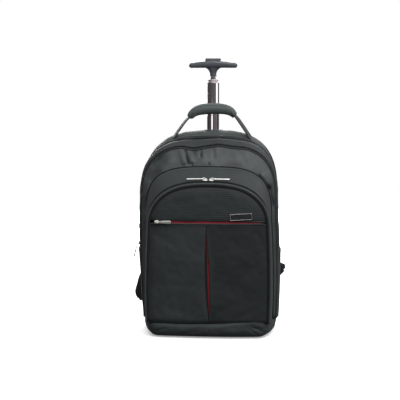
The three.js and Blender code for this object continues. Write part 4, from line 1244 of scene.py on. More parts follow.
class BuildZips(bpy.types.Operator):
    """Make the three zips: tape and teeth"""

    bl_idname = "backpack.zips"
    bl_label = "Zips"

    def execute(self, context):
        for name, (start, end, crown, at, low) in ZIPS.items():
            line, ways = zip_line(name, 0.0012)

            def out_at(u, ways=ways):
                return ways[round(clamp(u) * (len(ways) - 1))]

            tape = sweep(line, oval(sizes().zip_width, 0.0012, 4), 300, 12, turn=out_at)
            piece(f"tape_{name}", tape, tape_cloth(), replaces=[f"zip_{name}"])
            count = int(line.length / 0.0021)
            whole = bmesh.new()
            for i in range(count):
                u = (i + 0.5) / count
                along, out = line.tangent(u), out_at(u)
                wide = along.cross(out).normalized()
                turn = Matrix((along, wide, out)).transposed().to_4x4()
                turn.translation = line.at(u) + out * 0.0009 + wide * (0.0009 if i % 2 else -0.0009)
                size = Matrix.Diagonal((0.0014, 0.0036, 0.0010, 1))
                bmesh.ops.create_cube(whole, size=1, matrix=turn @ size)
            piece(f"teeth_{name}", whole, zip_plastic(), smooth=False)
        return {"FINISHED"}


SLIDERS = ("rear_compartment", "main_compartment", "organiser_left", "organiser_right", "front_pocket")


SWINGS = {"rear_compartment": (30, 0.85), "main_compartment": (16, 0.9)}  # degrees outwards and size


class BuildSliders(bpy.types.Operator):
    """Make the zips' sliders and pulls"""

    bl_idname = "backpack.sliders"
    bl_label = "Sliders and pulls"

    def execute(self, context):
        for name in SLIDERS:
            for kind in ("slider", "pull"):
                node = f"{kind}_{name}"
                bm = copy_of(node)
                if kind == "pull" and name in SWINGS:
                    top = max(v.co.z for v in bm.verts)
                    eye = [v.co for v in bm.verts if v.co.z > top - 0.003]
                    pivot = Matrix.Translation(sum(eye, Vector()) / len(eye))
                    angle, factor = SWINGS[name]
                    twist = Matrix.Rotation(math.radians(62), 4, "Z") @ Matrix.Scale(factor, 4)
                    turn = Matrix.Rotation(math.radians(angle), 4, "Y") @ twist
                    moved(bm, pivot @ turn @ pivot.inverted())
                piece(
                    f"{node}_plated", bm, nickel(), replaces=[node], smooth=True, modifiers=[soften(0.0004, 2)]
                )
        return {"FINISHED"}


# The pole and the handles.
def upright_oval(wide, deep, low, high, y, wall=0.0, rim=0.0008, sides=56):
    """An oval tube or bar that stands on its end, with rounded rims."""
    close = rim * 1.4
    profile = [(-rim, low), (0, low + rim), (0, low + close), (0, high - close), (0, high - rim), (-rim, high)]
    if wall:
        inner = [(-wall, high - rim), (-wall, high - close), (-wall, low + close), (-wall, low + rim)]
        profile = profile + [(-wall + rim / 2, high), *inner, (-wall + rim / 2, low), profile[0]]
    else:
        profile = [(None, low), *profile, (None, high)]

    def place(u, v):
        index = round(v * (len(profile) - 1))
        inset, z = profile[index]
        angle = 2 * math.pi * u
        if inset is None:
            return Vector((0, y, z))
        return Vector(((wide / 2 + inset) * math.cos(angle), y + (deep / 2 + inset) * math.sin(angle), z))

    bm = grid(sides, len(profile) - 1, place, (math.pi * wide, high - low))
    bmesh.ops.remove_doubles(bm, verts=bm.verts, dist=1e-6)
    bmesh.ops.recalc_face_normals(bm, faces=bm.faces)
    return bm


def size_of(node):
    low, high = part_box(node)
    return low, high, (low + high) / 2, high - low


class BuildPole(bpy.types.Operator):
    """Make the telescopic pole, its sleeve and its mouth"""

    bl_idname = "backpack.pole"
    bl_label = "Pole"

    def execute(self, context):
        for node, name, wall, look, slot, body in (
            ("pole_sleeve", "sleeve_tube", 0.0016, black_plastic, "black_plastic", "bag"),
            ("pole_stage", "outer_tube", 0.0014, chrome, "chrome_tube", "pole_stage"),
            ("pole_inner_tube", "inner_tube", 0.0012, dark_chrome, "chrome_tube", "tee_handle"),
        ):
            low, high, centre, size = size_of(node)
            bm = upright_oval(size.x, size.y, low.z, high.z, centre.y, wall)
            piece(name, bm, look(), body=body, replaces=[node], modifiers=[])
        low, high, centre, size = size_of("pole_collar")
        plug = upright_oval(0.0248, 0.0156, low.z, 0.5712, centre.y, 0.0040)
        lip = upright_oval(size.x, size.y, 0.5713, 0.5732, centre.y, 0.0060, rim=0.0006)
        cap = upright_oval(size.x - 0.0012, size.y - 0.0012, 0.5734, high.z, centre.y, 0.0030, rim=0.0012)
        collar = joined(plug, lip, cap)
        piece("collar_cap", collar, metal("satin chrome", colours().chrome, rough=0.34), body="pole_stage", replaces=["pole_collar"])
        piece(
            "pole_mouth",
            copy_of("pole_bezel"),
            slate_plastic(),
            replaces=["pole_bezel"],
            modifiers=[soften(0.001, 3)],
        )
        return {"FINISHED"}


def fused(parts, voxel, rounds):
    """The parts melted into one skin and smoothed."""
    mesh = bpy.data.meshes.new("fused")
    whole = joined(*parts)
    whole.to_mesh(mesh)
    whole.free()
    made = bpy.data.objects.new("fused", mesh)
    bpy.context.scene.collection.objects.link(made)
    remesh = made.modifiers.new("Remesh", "REMESH")
    remesh.mode = "VOXEL"
    remesh.voxel_size = voxel
    smooth = made.modifiers.new("Smooth", "SMOOTH")
    smooth.iterations = rounds
    smooth.factor = 0.5
    graph = bpy.context.evaluated_depsgraph_get()
    bm = bmesh.new()
    bm.from_mesh(made.evaluated_get(graph).data)
    bpy.data.objects.remove(made)
    bpy.data.meshes.remove(mesh)
    return bm


class BuildTee(bpy.types.Operator):
    """Make the T-handle and its button"""

    bl_idname = "backpack.tee"
    bl_label = "T-handle"

    def execute(self, context):
        low, high, centre, size = size_of("tee_grip")
        bar_bottom = high.z - 0.0163
        half = size.x / 2 - 0.0002
        y = centre.y
        line = Line([(lerp(-half, half, i / 80), y, 0) for i in range(81)])

        def bar(u, angle):
            end = abs(2 * u - 1)
            tall = lerp(0.0176, 0.0108, end**1.35)
            tip = max(0.03, 1 - max(0.0, (end - 0.88) / 0.12) ** 2.6) ** 0.5
            bulb = 1 + 0.05 * math.exp(-(((end - 0.92) / 0.06) ** 2))
            c, s = math.cos(angle), math.sin(angle)
            wide = size.y / 2 * lerp(1.0, 0.62, end**1.5) * tip
            return (
                wide * math.copysign(abs(c) ** 0.6, c),
                bar_bottom + tall / 2 + tall / 2 * tip * bulb * math.copysign(abs(s) ** 0.6, s),
            )

        grip = sweep(line, bar, 110, 32)
        ring = low.z
        neck = turned([(0.0001, ring + 0.002), (0.0074, ring + 0.002), (0.0074, ring + 0.012), (0.0001, ring + 0.012)], (0, y, 0))
        foot = turned(
            [
                (0.0001, ring),
                (0.0072, ring),
                (0.0079, ring + 0.0006),
                (0.0080, ring + 0.0022),
                (0.0075, ring + 0.0030),
                (0.0001, ring + 0.0034),
            ],
            (0, y, 0),
        )
        flare_low = low.z + 0.008
        flare_high = bar_bottom + 0.004
        rise = Line([(0, y, lerp(flare_low, flare_high, i / 30)) for i in range(31)])

        def funnel(u, angle):
            drop = (1 - u) * (flare_high - flare_low)
            wide = 0.0074 + 0.0185 * math.exp(-((drop / 0.0062) ** 1.25))
            deep = 0.0072 + 0.0022 * u
            return (wide * math.cos(angle), deep * math.sin(angle))

        flare = sweep(rise, funnel, 30, 28, turn=forwards)
        button_low, button_high, _, button_size = size_of("tee_button")
        skin = fused([grip, neck, flare], 0.0008, 5)
        sink_recess(skin, button_size, y, high.z)
        skin = joined(skin, foot)
        piece("tee_handle_grip", skin, slate_plastic(), body="tee_handle", replaces=["tee_grip"])
        key = block(
            (-button_size.x / 2, y - button_size.y / 2, button_low.z),
            (button_size.x / 2, y + button_size.y / 2, button_high.z),
            0.0022,
            4,
        )
        piece("tee_push_button", key, slate_plastic(), body="button", replaces=["tee_button"])
        return {"FINISHED"}


def sink_recess(bm, size, y, top):
    """Presses the skin down round the button."""
    wide, deep = size.x / 2 + 0.0010, size.y / 2 + 0.0009
    for vert in bm.verts:
        if vert.co.z > top - 0.008 and abs(vert.co.x) < wide and abs(vert.co.y - y) < deep:
            vert.co.z = min(vert.co.z, top - 0.0092)


GRIP_RUN = (
    (-54.5, 488.5),
    (-45.5, 500.0),
    (-33.0, 506.8),
    (-13.0, 510.0),
    (4.0, 510.4),
    (27.0, 509.4),
    (42.0, 504.8),
    (53.5, 493.0),
)
HANDLE_FEET = ((-91.0, 442.0), (91.0, 440.0))


def handle_line():
    """The carrying handle's line, from its left foot to its right one."""
    y = size_of("handle_webbing")[2].y
    (left_x, left_z), (right_x, right_z) = HANDLE_FEET
    run = [(left_x - 6, left_z - 12), (left_x, left_z), (-62, 483), *GRIP_RUN, (60, 486), (right_x, right_z)]
    run.append((right_x + 6, right_z - 12))
    return Line([(x * MM, y, z * MM) for x, z in run]).smoothed(3)


class BuildCarryHandle(bpy.types.Operator):
    """Make the carrying handle: webbing through a padded grip"""

    bl_idname = "backpack.carry_handle"
    bl_label = "Carrying handle"

    def execute(self, context):
        y = size_of("handle_webbing")[2].y
        grip_line = Line([(x * MM, y, z * MM) for x, z in GRIP_RUN]).smoothed(3)

        def section(u, angle):
            end = abs(2 * u - 1)
            swell = 1 - 0.42 * end**2.6
            return (0.0124 * swell * math.cos(angle), 0.0132 * swell * math.sin(angle))

        bm = puffed(sweep(grip_line, section, 60, 32), 0.004, 4, 0.004)
        wrap_uv(bm, y, 0.488)
        # The grip cloth is a lighter copy of the rear cloth, as painted light on the grip's top.
        grip = piece(
            "padded_grip",
            bm,
            cloth("grip cloth painted lit", shade(colours().rear, 1.65), rough=0.55, sheen=0.08),
            replaces=["handle_grip"],
            modifiers=[subdivided(1)],
        )
        seam = []
        for i in range(81):
            u = lerp(0.04, 0.96, i / 80)
            out = Vector((0, -0.0095, 0.0068)) * (1 - 0.42 * abs(2 * u - 1) ** 2.6)
            seam.append(grip_line.at(u) + out)
        bm = sweep(Line(seam), oval(0.0016, 0.0014), 80, 8)
        piece("grip_seam", bm, cloth("seam tape and groove shade", colours().seam))

        line = handle_line()

        def lay(u):
            return Vector((0, -0.17 * smoothstep(abs(line.at(u).x), 0.03, 0.06), 1))

        strap = sweep(line, oval(0.0195, 0.0034, 5), 200, 20, turn=lay)
        drop_below_bag(strap)
        piece("handle_strap", strap, webbing(), replaces=["handle_webbing"])
        return {"FINISHED"}


def stitches(name, rows):
    """Short raised threads along rows of (line, way out), joined into one piece."""
    whole = bmesh.new()
    for line, out in rows:
        count = int(line.length / 0.0040)
        for i in range(count):
            u = (i + 0.5) / count
            along = line.tangent(u)
            wide = along.cross(out).normalized()
            turn = Matrix((along, wide, wide.cross(along))).transposed().to_4x4()
            turn.translation = line.at(u)
            bmesh.ops.create_cube(whole, size=1, matrix=turn @ Matrix.Diagonal((0.0028, 0.0006, 0.0005, 1)))
    piece(name, whole, cloth("thread", shade(colours().twill, 1.6)), smooth=False)


def laid_row(surface, points, way, lift):
    """A line of points dropped onto a surface along a direction, and lifted off it."""
    hits = []
    for point in points:
        hit = surface.ray_cast(Vector(point) - way * 0.4, way)[0]
        if hit:
            hits.append(hit - way * lift)
    return Line(hits), -way


def upright_row(surface, x, low, high, lift):
    """A row up the back at one X."""
    points = [(x, 0.1, lerp(low, high, i / 120)) for i in range(121)]
    return laid_row(surface, points, Vector((0, -1, 0)), lift)


def drop_below_bag(bm):
    """Cuts off what would reach inside the bag's top."""
    low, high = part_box("handle_webbing")
    cut = low.z - 0.0005
    geometry = bm.verts[:] + bm.edges[:] + bm.faces[:]
    bmesh.ops.bisect_plane(bm, geom=geometry, plane_co=(0, 0, cut), plane_no=(0, 0, 1), clear_inner=True)
    bmesh.ops.holes_fill(bm, edges=[e for e in bm.edges if e.is_boundary], sides=0)


def puffed(bm, voxel, pressure, cap):
    mesh = bpy.data.meshes.new("pad")
    bm.to_mesh(mesh)
    bm.free()
    pad = bpy.data.objects.new("pad", mesh)
    scene = bpy.context.scene
    scene.collection.objects.link(pad)
    remesh = pad.modifiers.new("Remesh", "REMESH")
    remesh.mode = "VOXEL"
    remesh.voxel_size = voxel
    even = bpy.data.meshes.new_from_object(pad.evaluated_get(bpy.context.evaluated_depsgraph_get()))
    pad.modifiers.clear()
    pad.data = even
    starts = [v.co.copy() for v in even.vertices]
    cloth_on = pad.modifiers.new("Cloth", "CLOTH")
    cloth_on.settings.use_pressure = True
    cloth_on.settings.uniform_pressure_force = pressure
    cloth_on.settings.effector_weights.gravity = 0
    for number in range(1, 21):
        scene.frame_set(number)
    swollen = bmesh.new()
    swollen.from_mesh(pad.evaluated_get(bpy.context.evaluated_depsgraph_get()).data)
    for vert, start in zip(swollen.verts, starts):
        move = vert.co - start
        if move.length > cap:
            vert.co = start + move * (cap / move.length)
    scene.frame_set(1)
    bpy.data.objects.remove(pad)
    bpy.data.meshes.remove(mesh)
    bpy.data.meshes.remove(even)
    return swollen


def subdivided(levels):
    return ("SUBSURF", {"levels": levels, "render_levels": levels})


def wrap_uv(bm, y, z):
    """A UV map in metres round a piece that lies along X."""
    uv = bm.loops.layers.uv.active or bm.loops.layers.uv.new("UVMap")
    for face in bm.faces:
        for loop in face.loops:
            p = loop.vert.co
            loop[uv].uv = (p.x, 0.013 * math.atan2(p.z - z, p.y - y))


def flat_uv(bm):
    """A UV map in metres from X and Z."""
    uv = bm.loops.layers.uv.active or bm.loops.layers.uv.new("UVMap")
    for face in bm.faces:
        for loop in face.loops:
            loop[uv].uv = (loop.vert.co.x, loop.vert.co.z)


# The wheels and their chassis.
class BuildChassis(bpy.types.Operator):
    """Make the chassis across the back of the base"""

    bl_idname = "backpack.chassis"
    bl_label = "Chassis"

    def execute(self, context):
        piece(
            "chassis_shell",
            copy_of("wheel_chassis"),
            black_plastic(),
            replaces=["wheel_chassis"],
            smooth=False,
            modifiers=[soften(0.0012, 2)],
        )
        return {"FINISHED"}


class BuildWheels(bpy.types.Operator):
    """Make the tyres, hubs and axles"""

    bl_idname = "backpack.wheels"
    bl_label = "Wheels"

    def execute(self, context):
        for side in ("left", "right"):
            low, high, centre, size = size_of(f"tyre_{side}")
            radius, half = size.z / 2, size.x / 2
            hub = 0.019
            tyre = [
                (hub + 0.0004, -half + 0.001),
                (hub + 0.003, -half + 0.0002),
                (radius - 0.005, -half),
                (radius - 0.002, -half + 0.0015),
                (radius - 0.0004, -half + 0.005),
                (radius, -0.0032),
                (radius - 0.0012, -0.0026),
                (radius - 0.0012, -0.0016),
                (radius, -0.0010),
                (radius, 0.0010),
                (radius - 0.0012, 0.0016),
                (radius - 0.0012, 0.0026),
                (radius, 0.0032),
                (radius - 0.0004, half - 0.005),
                (radius - 0.002, half - 0.0015),
                (radius - 0.005, half),
                (hub + 0.003, half - 0.0002),
                (hub + 0.0004, half - 0.001),
                (hub + 0.0004, -half + 0.001),
            ]
            piece(
                f"rubber_{side}",
                turned(tyre, centre, "X", 64),
                rubber(),
                body=f"wheel_{side}",
                replaces=[f"tyre_{side}"],
            )
            bore = 0.0031
            core = [
                (bore, -half),
                (bore + 0.004, -half),
                (bore + 0.005, -half + 0.004),
                (hub - 0.004, -half + 0.0045),
                (hub - 0.003, -half + 0.002),
                (hub, -half + 0.001),
                (hub, half - 0.001),
                (hub - 0.003, half - 0.002),
                (hub - 0.004, half - 0.0045),
                (bore + 0.005, half - 0.004),
                (bore + 0.004, half),
                (bore, half),
                (bore, -half),
            ]
            spokes = []
            for i in range(6):
                spoke = block((-half + 0.0025, -0.0014, 0.006), (half - 0.0025, 0.0014, hub - 0.002), 0.0005, 2)
                moved(spoke, Matrix.Translation(centre) @ Matrix.Rotation(i * math.pi / 3, 4, "X"))
                spokes.append(spoke)
            piece(
                f"wheel_hub_{side}",
                joined(turned(core, centre, "X", 48), *spokes),
                moulded("grey plastic", shade(colours().slate, 1.8), rough=0.45),
                body=f"wheel_{side}",
                replaces=[f"hub_{side}"],
            )
            low, high, centre, size = size_of(f"axle_{side}")
            pin = [(0.0001, -size.x / 2), (0.0026, -size.x / 2), (0.003, -size.x / 2 + 0.0005)]
            pin = pin + [(r, -h) for r, h in pin[::-1]]
            piece(f"pin_{side}", turned(pin, centre, "X", 32), nickel(), replaces=[f"axle_{side}"])
        return {"FINISHED"}


# The sides and the back.
class BuildSidePockets(bpy.types.Operator):
    """Make the side pockets with their elastic hems"""

    bl_idname = "backpack.side_pockets"
    bl_label = "Side pockets"

    def execute(self, context):
        top, back, front, crown, lift = 0.408 * sizes().bag_height, 0.05, 0.95, 0.0018, 0.0006
        foot = sizes().seam_z + 2 * sizes().gap
        for name, way in (("left", -1), ("right", 1)):

            def at(u, v, extra=0.0, name=name, way=way):
                z = lerp(foot, top, v)
                share = lerp(back, front, u)
                rear_x = lean_at("rear", z) + way * half_width_at("rear", z)
                main_x = lean_at("main", z) + way * half_width_at("main", z)
                bulge = CROWNS["main"][0] * math.sin(math.pi * share)
                open_here = crown * math.sin(math.pi * u) ** 0.7 * smoothstep(z, foot - 0.02, foot + 0.06)
                gather = 0.0008 * math.sin(u * 70) * smoothstep(v, 0.72, 0.97) * math.sin(math.pi * u)
                rumple = unevenness(share, way, z * 20, 1.2, 0.0012) * math.sin(math.pi * u) ** 0.5
                x = lerp(rear_x, main_x, share) + way * (bulge + lift + 0.0006 + open_here + gather + rumple + extra)
                return Vector((x, lerp(seam_y("rear", z), seam_y("main", z), share), z))

            bm = grid(90, 80, at, (0.07, top - foot))
            bmesh.ops.recalc_face_normals(bm, faces=bm.faces)
            if sum(f.normal.x * f.calc_area() for f in bm.faces) * way < 0:
                bmesh.ops.reverse_faces(bm, faces=bm.faces)
            piece(
                f"pocket_{name}",
                bm,
                cloth("pocket cloth", shade(colours().twill, 1.2)),
                replaces=[f"side_pocket_{name}"],
                modifiers=[thicken(0.0012, 1)],
            )
            hem = Line([at(0.02 + 0.96 * i / 60, 0.985, 0.0008) for i in range(61)])
            bm = sweep(hem, oval(0.0105, 0.0022, 3), 60, 12, turn=lambda u, way=way: Vector((way, 0, 0)))
            piece(f"pocket_hem_{name}", bm, webbing())
            low_row = Line([at(0.03 + 0.94 * i / 60, 0.955, 0.0014) for i in range(61)])
            stitches(f"pocket_stitches_{name}", [(low_row, Vector((way, 0, 0)))])
        return {"FINISHED"}


class BuildBackPanel(bpy.types.Operator):
    """Make the padded back panel with its air channels"""

    bl_idname = "backpack.back_panel"
    bl_label = "Back panel"

    def execute(self, context):
        low, high, centre, size = size_of("back_panel")
        chassis_low, chassis_high, _, chassis_size = size_of("wheel_chassis")
        half_loop_back = half_loop("back")
        edge_line = [(x, z) for x, z in half_loop_back]
        foot = chassis_high.z + 0.0008

        def edge_at(z):
            for (x0, z0), (x1, z1) in zip(edge_line, edge_line[1:]):
                if z0 <= z <= z1 and z1 > z0:
                    return lerp(x0, x1, (z - z0) / (z1 - z0))
            return edge_line[-1][0] if z > edge_line[-1][1] else edge_line[0][0]

        top = top_of("back") - 0.0006

        def place(u, v):
            z = lerp(foot, top, v)
            x = lean_at("back", z) + lerp(-1, 1, u) * edge_at(z)
            rim = min(1.0, min(u, 1 - u) / 0.035, (1 - v) / 0.03)
            rim = smoothstep(rim, 0, 1) ** 0.6
            channel = max(
                math.exp(-((x / 0.017) ** 2)),
                0.75 * math.exp(-(((abs(x) - 0.098) / 0.0045) ** 2)),
                0.7 * max(math.exp(-(((z - seam) / 0.0045) ** 2)) for seam in (0.16, 0.25, 0.34)) * (abs(x) < 0.0975),
            )
            deep = sizes().back_y + 0.0012 + 0.0071 * rim * (1 - 0.62 * channel)
            curl = 0.006 * (1 - min(v / 0.012, 1)) ** 2
            return Vector((x, deep - curl + unevenness(x, 0, z, 0.03, 0.0004), z))

        bm = grid(150, 150, place, (0.3, top - foot))
        bmesh.ops.recalc_face_normals(bm, faces=bm.faces)
        if sum(f.normal.y * f.calc_area() for f in bm.faces) < 0:
            bmesh.ops.reverse_faces(bm, faces=bm.faces)
        bm_copy = bm.copy()
        made = piece(
            "back_pad", bm, spacer_mesh(), replaces=["back_panel"], modifiers=[thicken(0.0008, -1)]
        )
        inner_wall = block((-0.142, 0.0835, foot), (0.142, 0.0855, foot + 0.04))
        piece("back_foot_lining", inner_wall, twill(), smooth=False)
        pad = BVHTree.FromBMesh(bm_copy)
        rows = [upright_row(pad, way * x, 0.09, 0.43 - abs(x) * 0.6, 0.0012) for x in (0.0205, 0.0905) for way in (-1, 1)]
        stitches("back_stitches", rows)
        for name, way in (("left", -1), ("right", 1)):
            rows = [lerp(sizes().seam_z + 0.0006, foot, i / 6) for i in range(7)]
            outer = [lean_at("back", z) + way * edge_at(z) for z in rows]
            inner = way * (chassis_size.x / 2 + 0.0008)

            def strip(u, v, rows=rows, outer=outer, inner=inner):
                z = lerp(rows[0], rows[-1], v)
                x = lerp(inner, outer[round(v * 6)], u)
                return Vector((x, sizes().back_y + 0.0012 + 0.006 * math.sin(math.pi * u) ** 0.5, z))

            bm = grid(10, 24, strip, (0.01, 0.04))
            bmesh.ops.recalc_face_normals(bm, faces=bm.faces)
            piece(f"back_edge_{name}", bm, twill(), modifiers=[thicken(0.0008, -1)])
        return {"FINISHED"}


STRAPS = {
    "left": (
        (-0.290, 0.950, 0.5, 24),
        (-0.328, 0.868, 4, 28),
        (-0.429, 0.716, 10, 30),
        (-0.618, 0.510, 13, 31),
        (-0.808, 0.336, 12, 31),
        (-0.966, 0.213, 10, 32),
        (-1.048, 0.143, 9, 28),
        (-1.036, 0.095, 9, 17),
    ),
    "right": (
        (0.290, 0.950, 0.5, 24),
        (0.328, 0.868, 4, 28),
        (0.404, 0.716, 10, 30),
        (0.530, 0.521, 13, 31),
        (0.650, 0.336, 12, 31),
        (0.713, 0.217, 10, 29),
        (0.738, 0.165, 9, 18),
    ),
}


def ladder_lock(tape, at):
    """A webbing buckle: two side rails and three bars, lying on a tape."""
    along = tape.tangent(at)
    wide = along.cross(Vector((0, 1, 0))).normalized()
    turn = Matrix((wide, along, wide.cross(along))).transposed().to_4x4()
    turn.translation = tape.at(at) + wide.cross(along) * (0.0016 if wide.cross(along).y > 0 else -0.0016)
    rails = [block((x - 0.0018, -0.011, -0.0016), (x + 0.0018, 0.011, 0.0022)) for x in (-0.0128, 0.0128)]
    bars = [block((-0.0112, y - 0.0016, -0.0012), (0.0112, y + 0.0016, 0.0016)) for y in (-0.009, 0.0, 0.009)]
    whole = joined(*rails, *bars)
    moved(whole, turn)
    return whole


class BuildStraps(bpy.types.Operator):
    """Make the padded shoulder straps, their webbing and wings"""

    bl_idname = "backpack.straps"
    bl_label = "Shoulder straps"

    def execute(self, context):
        back = size_of("wheel_chassis")[1].y
        for name, rows in STRAPS.items():
            stations = [
                (x * sizes().bag_width / 2, back + 0.0003 + y * MM, z * sizes().bag_height, half * MM)
                for x, z, y, half in rows
            ]
            rail = Line([s[:3] for s in stations]).smoothed(3)
            spans = Line([s[:3] for s in stations])
            shares = [r / spans.length for r in spans.reach]

            def half_at(u, shares=shares, stations=stations):
                for i, (a, b) in enumerate(zip(shares, shares[1:])):
                    if u <= b:
                        part = (u - a) / (b - a)
                        return lerp(stations[i][3], stations[i + 1][3], part * part * (3 - 2 * part))
                return stations[-1][3]

            def section(u, angle, half_at=half_at):
                half = half_at(u)
                end = min(1.0, (1 - u) / 0.03, u / 0.01)
                c, s = math.cos(angle), math.sin(angle)
                wide = half * math.copysign(abs(c) ** 0.5, c) * (0.86 + 0.14 * math.sqrt(max(end, 0)))
                thick = sizes().strap_thick / 2 * (0.45 + 0.55 * max(end, 0) ** 0.5)
                quilt = 1 - 0.22 * math.exp(-(((abs(c) - 0.93) / 0.04) ** 2))
                return (wide, thick * math.copysign(abs(s) ** 0.75, s) * quilt)

            lift = Vector((0, sizes().strap_thick / 2, 0))
            centre = Line([p + lift for p in rail.points])
            bm = puffed(sweep(centre, section, 150, 48, turn=forwards), 0.0042, 3, 0.0022)
            flat_uv(bm)
            surface = BVHTree.FromBMesh(bm)
            made = piece(
                f"strap_pad_{name}",
                bm,
                spacer_mesh(),
                replaces=[f"shoulder_strap_{name}"],
                modifiers=[subdivided(1)],
            )
            into = Vector((0, -1, 0))

            def beside(u, out, centre=centre):
                return centre.at(u) + centre.tangent(u).cross(into).normalized() * out

            def edge_of(u, way, surface=surface, beside=beside):
                near, far = 0.004, 0.040
                for _ in range(12):
                    middle = (near + far) / 2
                    hit = surface.ray_cast(beside(u, way * middle) + Vector((0, 0.1, 0)), into)[0]
                    near, far = (middle, far) if hit else (near, middle)
                return near

            shares = [lerp(0.015, 0.975, i / 90) for i in range(91)]
            for side, way in (("inner", -1), ("outer", 1)):
                edges = [edge_of(u, way) for u in shares]
                row = laid_row(surface, [beside(u, way * (e - 0.0055)) for u, e in zip(shares, edges)], into, 0.0004)
                stitches(f"strap_stitches_{name}_{side}", [row])
                rim = Line([beside(u, way * (e - 0.0012)) for u, e in zip(shares, edges)]).smoothed(1)
                bm = sweep(rim, oval(0.0036, 0.0046), 150, 8, turn=forwards)
                piece(f"strap_binding_{name}_{side}", bm, piping_cloth())
            tape, _ = laid_row(surface, [centre.at(lerp(0.34, 0.93, i / 80)) for i in range(81)], into, 0.0012)
            tape = tape.smoothed(2)
            bm = sweep(tape, oval(0.0200, 0.0016, 5), 120, 12, turn=forwards)
            piece(f"strap_tape_{name}", bm, webbing())
            piece(f"ladder_lock_{name}", ladder_lock(tape, 0.94), black_plastic(), modifiers=[soften(0.0006, 2)])
            for part in ("strap_wing", "strap_webbing"):
                node = f"{part}_{name}"
                look = twill() if part == "strap_wing" else webbing()
                piece(
                    f"{node}_cloth",
                    copy_of(node),
                    look,
                    replaces=[node],
                    smooth=False,
                    modifiers=[soften(0.0006, 2)],
                )
        return {"FINISHED"}


class BuildBadge(bpy.types.Operator):
    """Make the badge: a plain plate in a thin silver frame"""

    bl_idname = "backpack.badge"
    bl_label = "Badge"

    def execute(self, context):
        plate = moulded("badge enamel", colours().enamel, rough=0.4, grain=0.05)
        bm = copy_of("badge")
        flat = [f for f in bm.faces if f.normal.y < -0.9]
        face = max(flat, key=lambda f: f.calc_area())
        normal = face.normal.copy()
        low, high, middle, size = size_of("badge")
        on_face = face.calc_center_median()
        lean, wide, tall = math.radians(2.9), size.x / 2 - 0.0016, 0.00775 - 0.0012
        run = [(-wide, -tall), (wide, -tall), (wide, tall), (-wide, tall)]
        ring = []
        for (x0, z0), (x1, z1) in zip(run, run[1:] + run[:1]):
            for i in range(16):
                dx, dz = lerp(x0, x1, i / 16), lerp(z0, z1, i / 16)
                x = middle.x + dx * math.cos(lean) - dz * math.sin(lean)
                z = middle.z + dx * math.sin(lean) + dz * math.cos(lean)
                drop = normal.x * (x - on_face.x) + normal.z * (z - on_face.z)
                ring.append(Vector((x, on_face.y - drop / normal.y - 0.0003, z)))
        piece("badge_plate", bm, plate, replaces=["badge"], smooth=False, modifiers=[soften(0.0004, 2)])
        edge = sweep(Line(ring + [ring[0]]), oval(0.0010, 0.0010), 192, 8, turn=forwards, caps=False)
        piece("badge_edge", edge, metal("satin nickel", shade(colours().nickel, 0.55), rough=0.42))
        return {"FINISHED"}


# Floor, light and camera.
def light_room(scene):
    """A white backdrop whose light falls softly from above and is dim from the sides."""
    room = bpy.data.worlds.new("studio")
    scene.world = room
    room.use_nodes = True
    s = Shader(room.node_tree)
    aside, _, height = s.node("ShaderNodeTexCoord").split()
    seen = s.node("ShaderNodeLightPath")
    soft = (height.ramp(0.05, 0.95) * 1.1 + 0.16) * (aside.ramp(-0.9, 0.5) * 0.5 + 0.6)
    backdrop = room.node_tree.nodes["Background"]
    backdrop.inputs["Color"].default_value = (1, 1, 1, 1)
    radiance = soft * (1 - seen) + seen
    room.node_tree.links.new(radiance.socket, backdrop.inputs["Strength"])


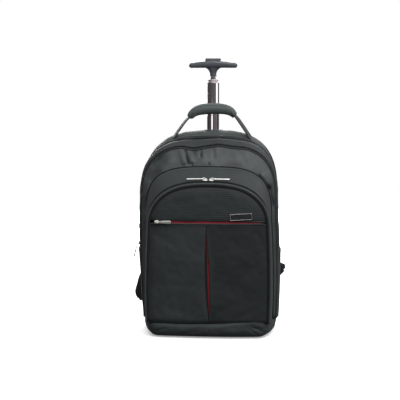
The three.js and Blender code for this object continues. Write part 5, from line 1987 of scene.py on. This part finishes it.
class BuildStage(bpy.types.Operator):
    """Make the floor, the lights and the camera"""

    bl_idname = "backpack.stage"
    bl_label = "Stage"

    def execute(self, context):
        scene = context.scene
        scene.view_settings.view_transform = "Standard"
        floor = bmesh.new()
        bmesh.ops.create_grid(floor, x_segments=8, y_segments=8, size=3.6)
        bmesh.ops.translate(floor, verts=floor.verts, vec=(0, 0, -0.0005))
        mesh = bpy.data.meshes.new("floor")
        floor.to_mesh(mesh)
        floor.free()
        ground = bpy.data.objects.new("floor", mesh)
        scene.collection.objects.link(ground)

        def pale(s):
            mist = object_place(s).noise(3, 2)
            return {
                "Base Color": mist.mix((0.84, 0.84, 0.84), (0.88, 0.88, 0.88)),
                "Roughness": 0.85,
                "Specular IOR Level": 0.1,
                "Emission Color": (1, 1, 1),
                "Emission Strength": 0.3,
            }

        ground.data.materials.append(finish("pale floor", pale))
        ground.visible_diffuse = False
        ground.visible_glossy = False
        light_room(scene)
        for name, place, power, wide, high in (
            ("key", (0.5, -1.7, 2.1), 33, 1.3, 1.3),
            ("fill", (-0.9, -2.4, 1.5), 7, 1.2, 1.0),
            ("window", (1.75, -0.95, 1.06), 12, 1.45, 1.25),
            ("strip", (-0.5, -1.9, 0.43), 0.36, 0.5, 0.09),
            ("rim", (1.3, 0.9, 1.8), 10, 1.2, 1.2),
            ("back", (-0.5, 2.6, 1.2), 95, 1.6, 1.6),
        ):
            data = bpy.data.lights.new(name, "AREA")
            data.shape = "RECTANGLE"
            data.energy = power
            data.size = wide
            data.size_y = high
            lamp = bpy.data.objects.new(name, data)
            lamp.location = place
            lamp.rotation_euler = (Vector((0, 0, 0.3)) - Vector(place)).to_track_quat("-Z", "Y").to_euler()
            scene.collection.objects.link(lamp)

        data = bpy.data.cameras.new("camera")
        data.lens = 105.7
        data.sensor_width = 36
        data.clip_end = 50
        camera = bpy.data.objects.new("camera", data)
        target, azimuth, elevation, far = Vector((-0.025, 0, 0.301)), math.radians(4.5), math.radians(5), 2.7
        away = Vector(
            (math.sin(azimuth) * math.cos(elevation), -math.cos(azimuth) * math.cos(elevation), math.sin(elevation))
        )
        camera.location = target + away * far
        camera.rotation_euler = (-away).to_track_quat("-Z", "Y").to_euler()
        scene.collection.objects.link(camera)
        scene.camera = camera
        return {"FINISHED"}


OPERATORS = (
    BuildStage,
    BuildGussets,
    BuildMainPanel,
    BuildFrontPanels,
    BuildLinings,
    BuildBase,
    BuildPiping,
    BuildZips,
    BuildSliders,
    BuildPole,
    BuildTee,
    BuildCarryHandle,
    BuildChassis,
    BuildWheels,
    BuildSidePockets,
    BuildBackPanel,
    BuildStraps,
    BuildBadge,
)


class BackpackPanel(bpy.types.Panel):
    """The backpack's sizes, colours and pieces"""

    bl_idname = "VIEW3D_PT_backpack"
    bl_label = "Wheeled Backpack"
    bl_space_type = "VIEW_3D"
    bl_region_type = "UI"
    bl_category = "Backpack"

    def draw(self, context):
        for group in (context.scene.backpack_sizes, context.scene.backpack_colours):
            for prop in group.bl_rna.properties:
                if prop.identifier not in ("name", "rna_type"):
                    self.layout.prop(group, prop.identifier)
        for operator in OPERATORS:
            self.layout.operator(operator.bl_idname)


CLASSES = (BackpackSizes, BackpackColours, *OPERATORS, BackpackPanel)


def register():
    for made in CLASSES:
        bpy.utils.register_class(made)
    bpy.types.Scene.backpack_sizes = bpy.props.PointerProperty(type=BackpackSizes)
    bpy.types.Scene.backpack_colours = bpy.props.PointerProperty(type=BackpackColours)


def unregister():
    del bpy.types.Scene.backpack_colours
    del bpy.types.Scene.backpack_sizes
    for made in reversed(CLASSES):
        bpy.utils.unregister_class(made)


def main():
    register()
    for operator in OPERATORS:
        group, name = operator.bl_idname.split(".")
        getattr(getattr(bpy.ops, group), name)()


if __name__ == "__main__":
    main()
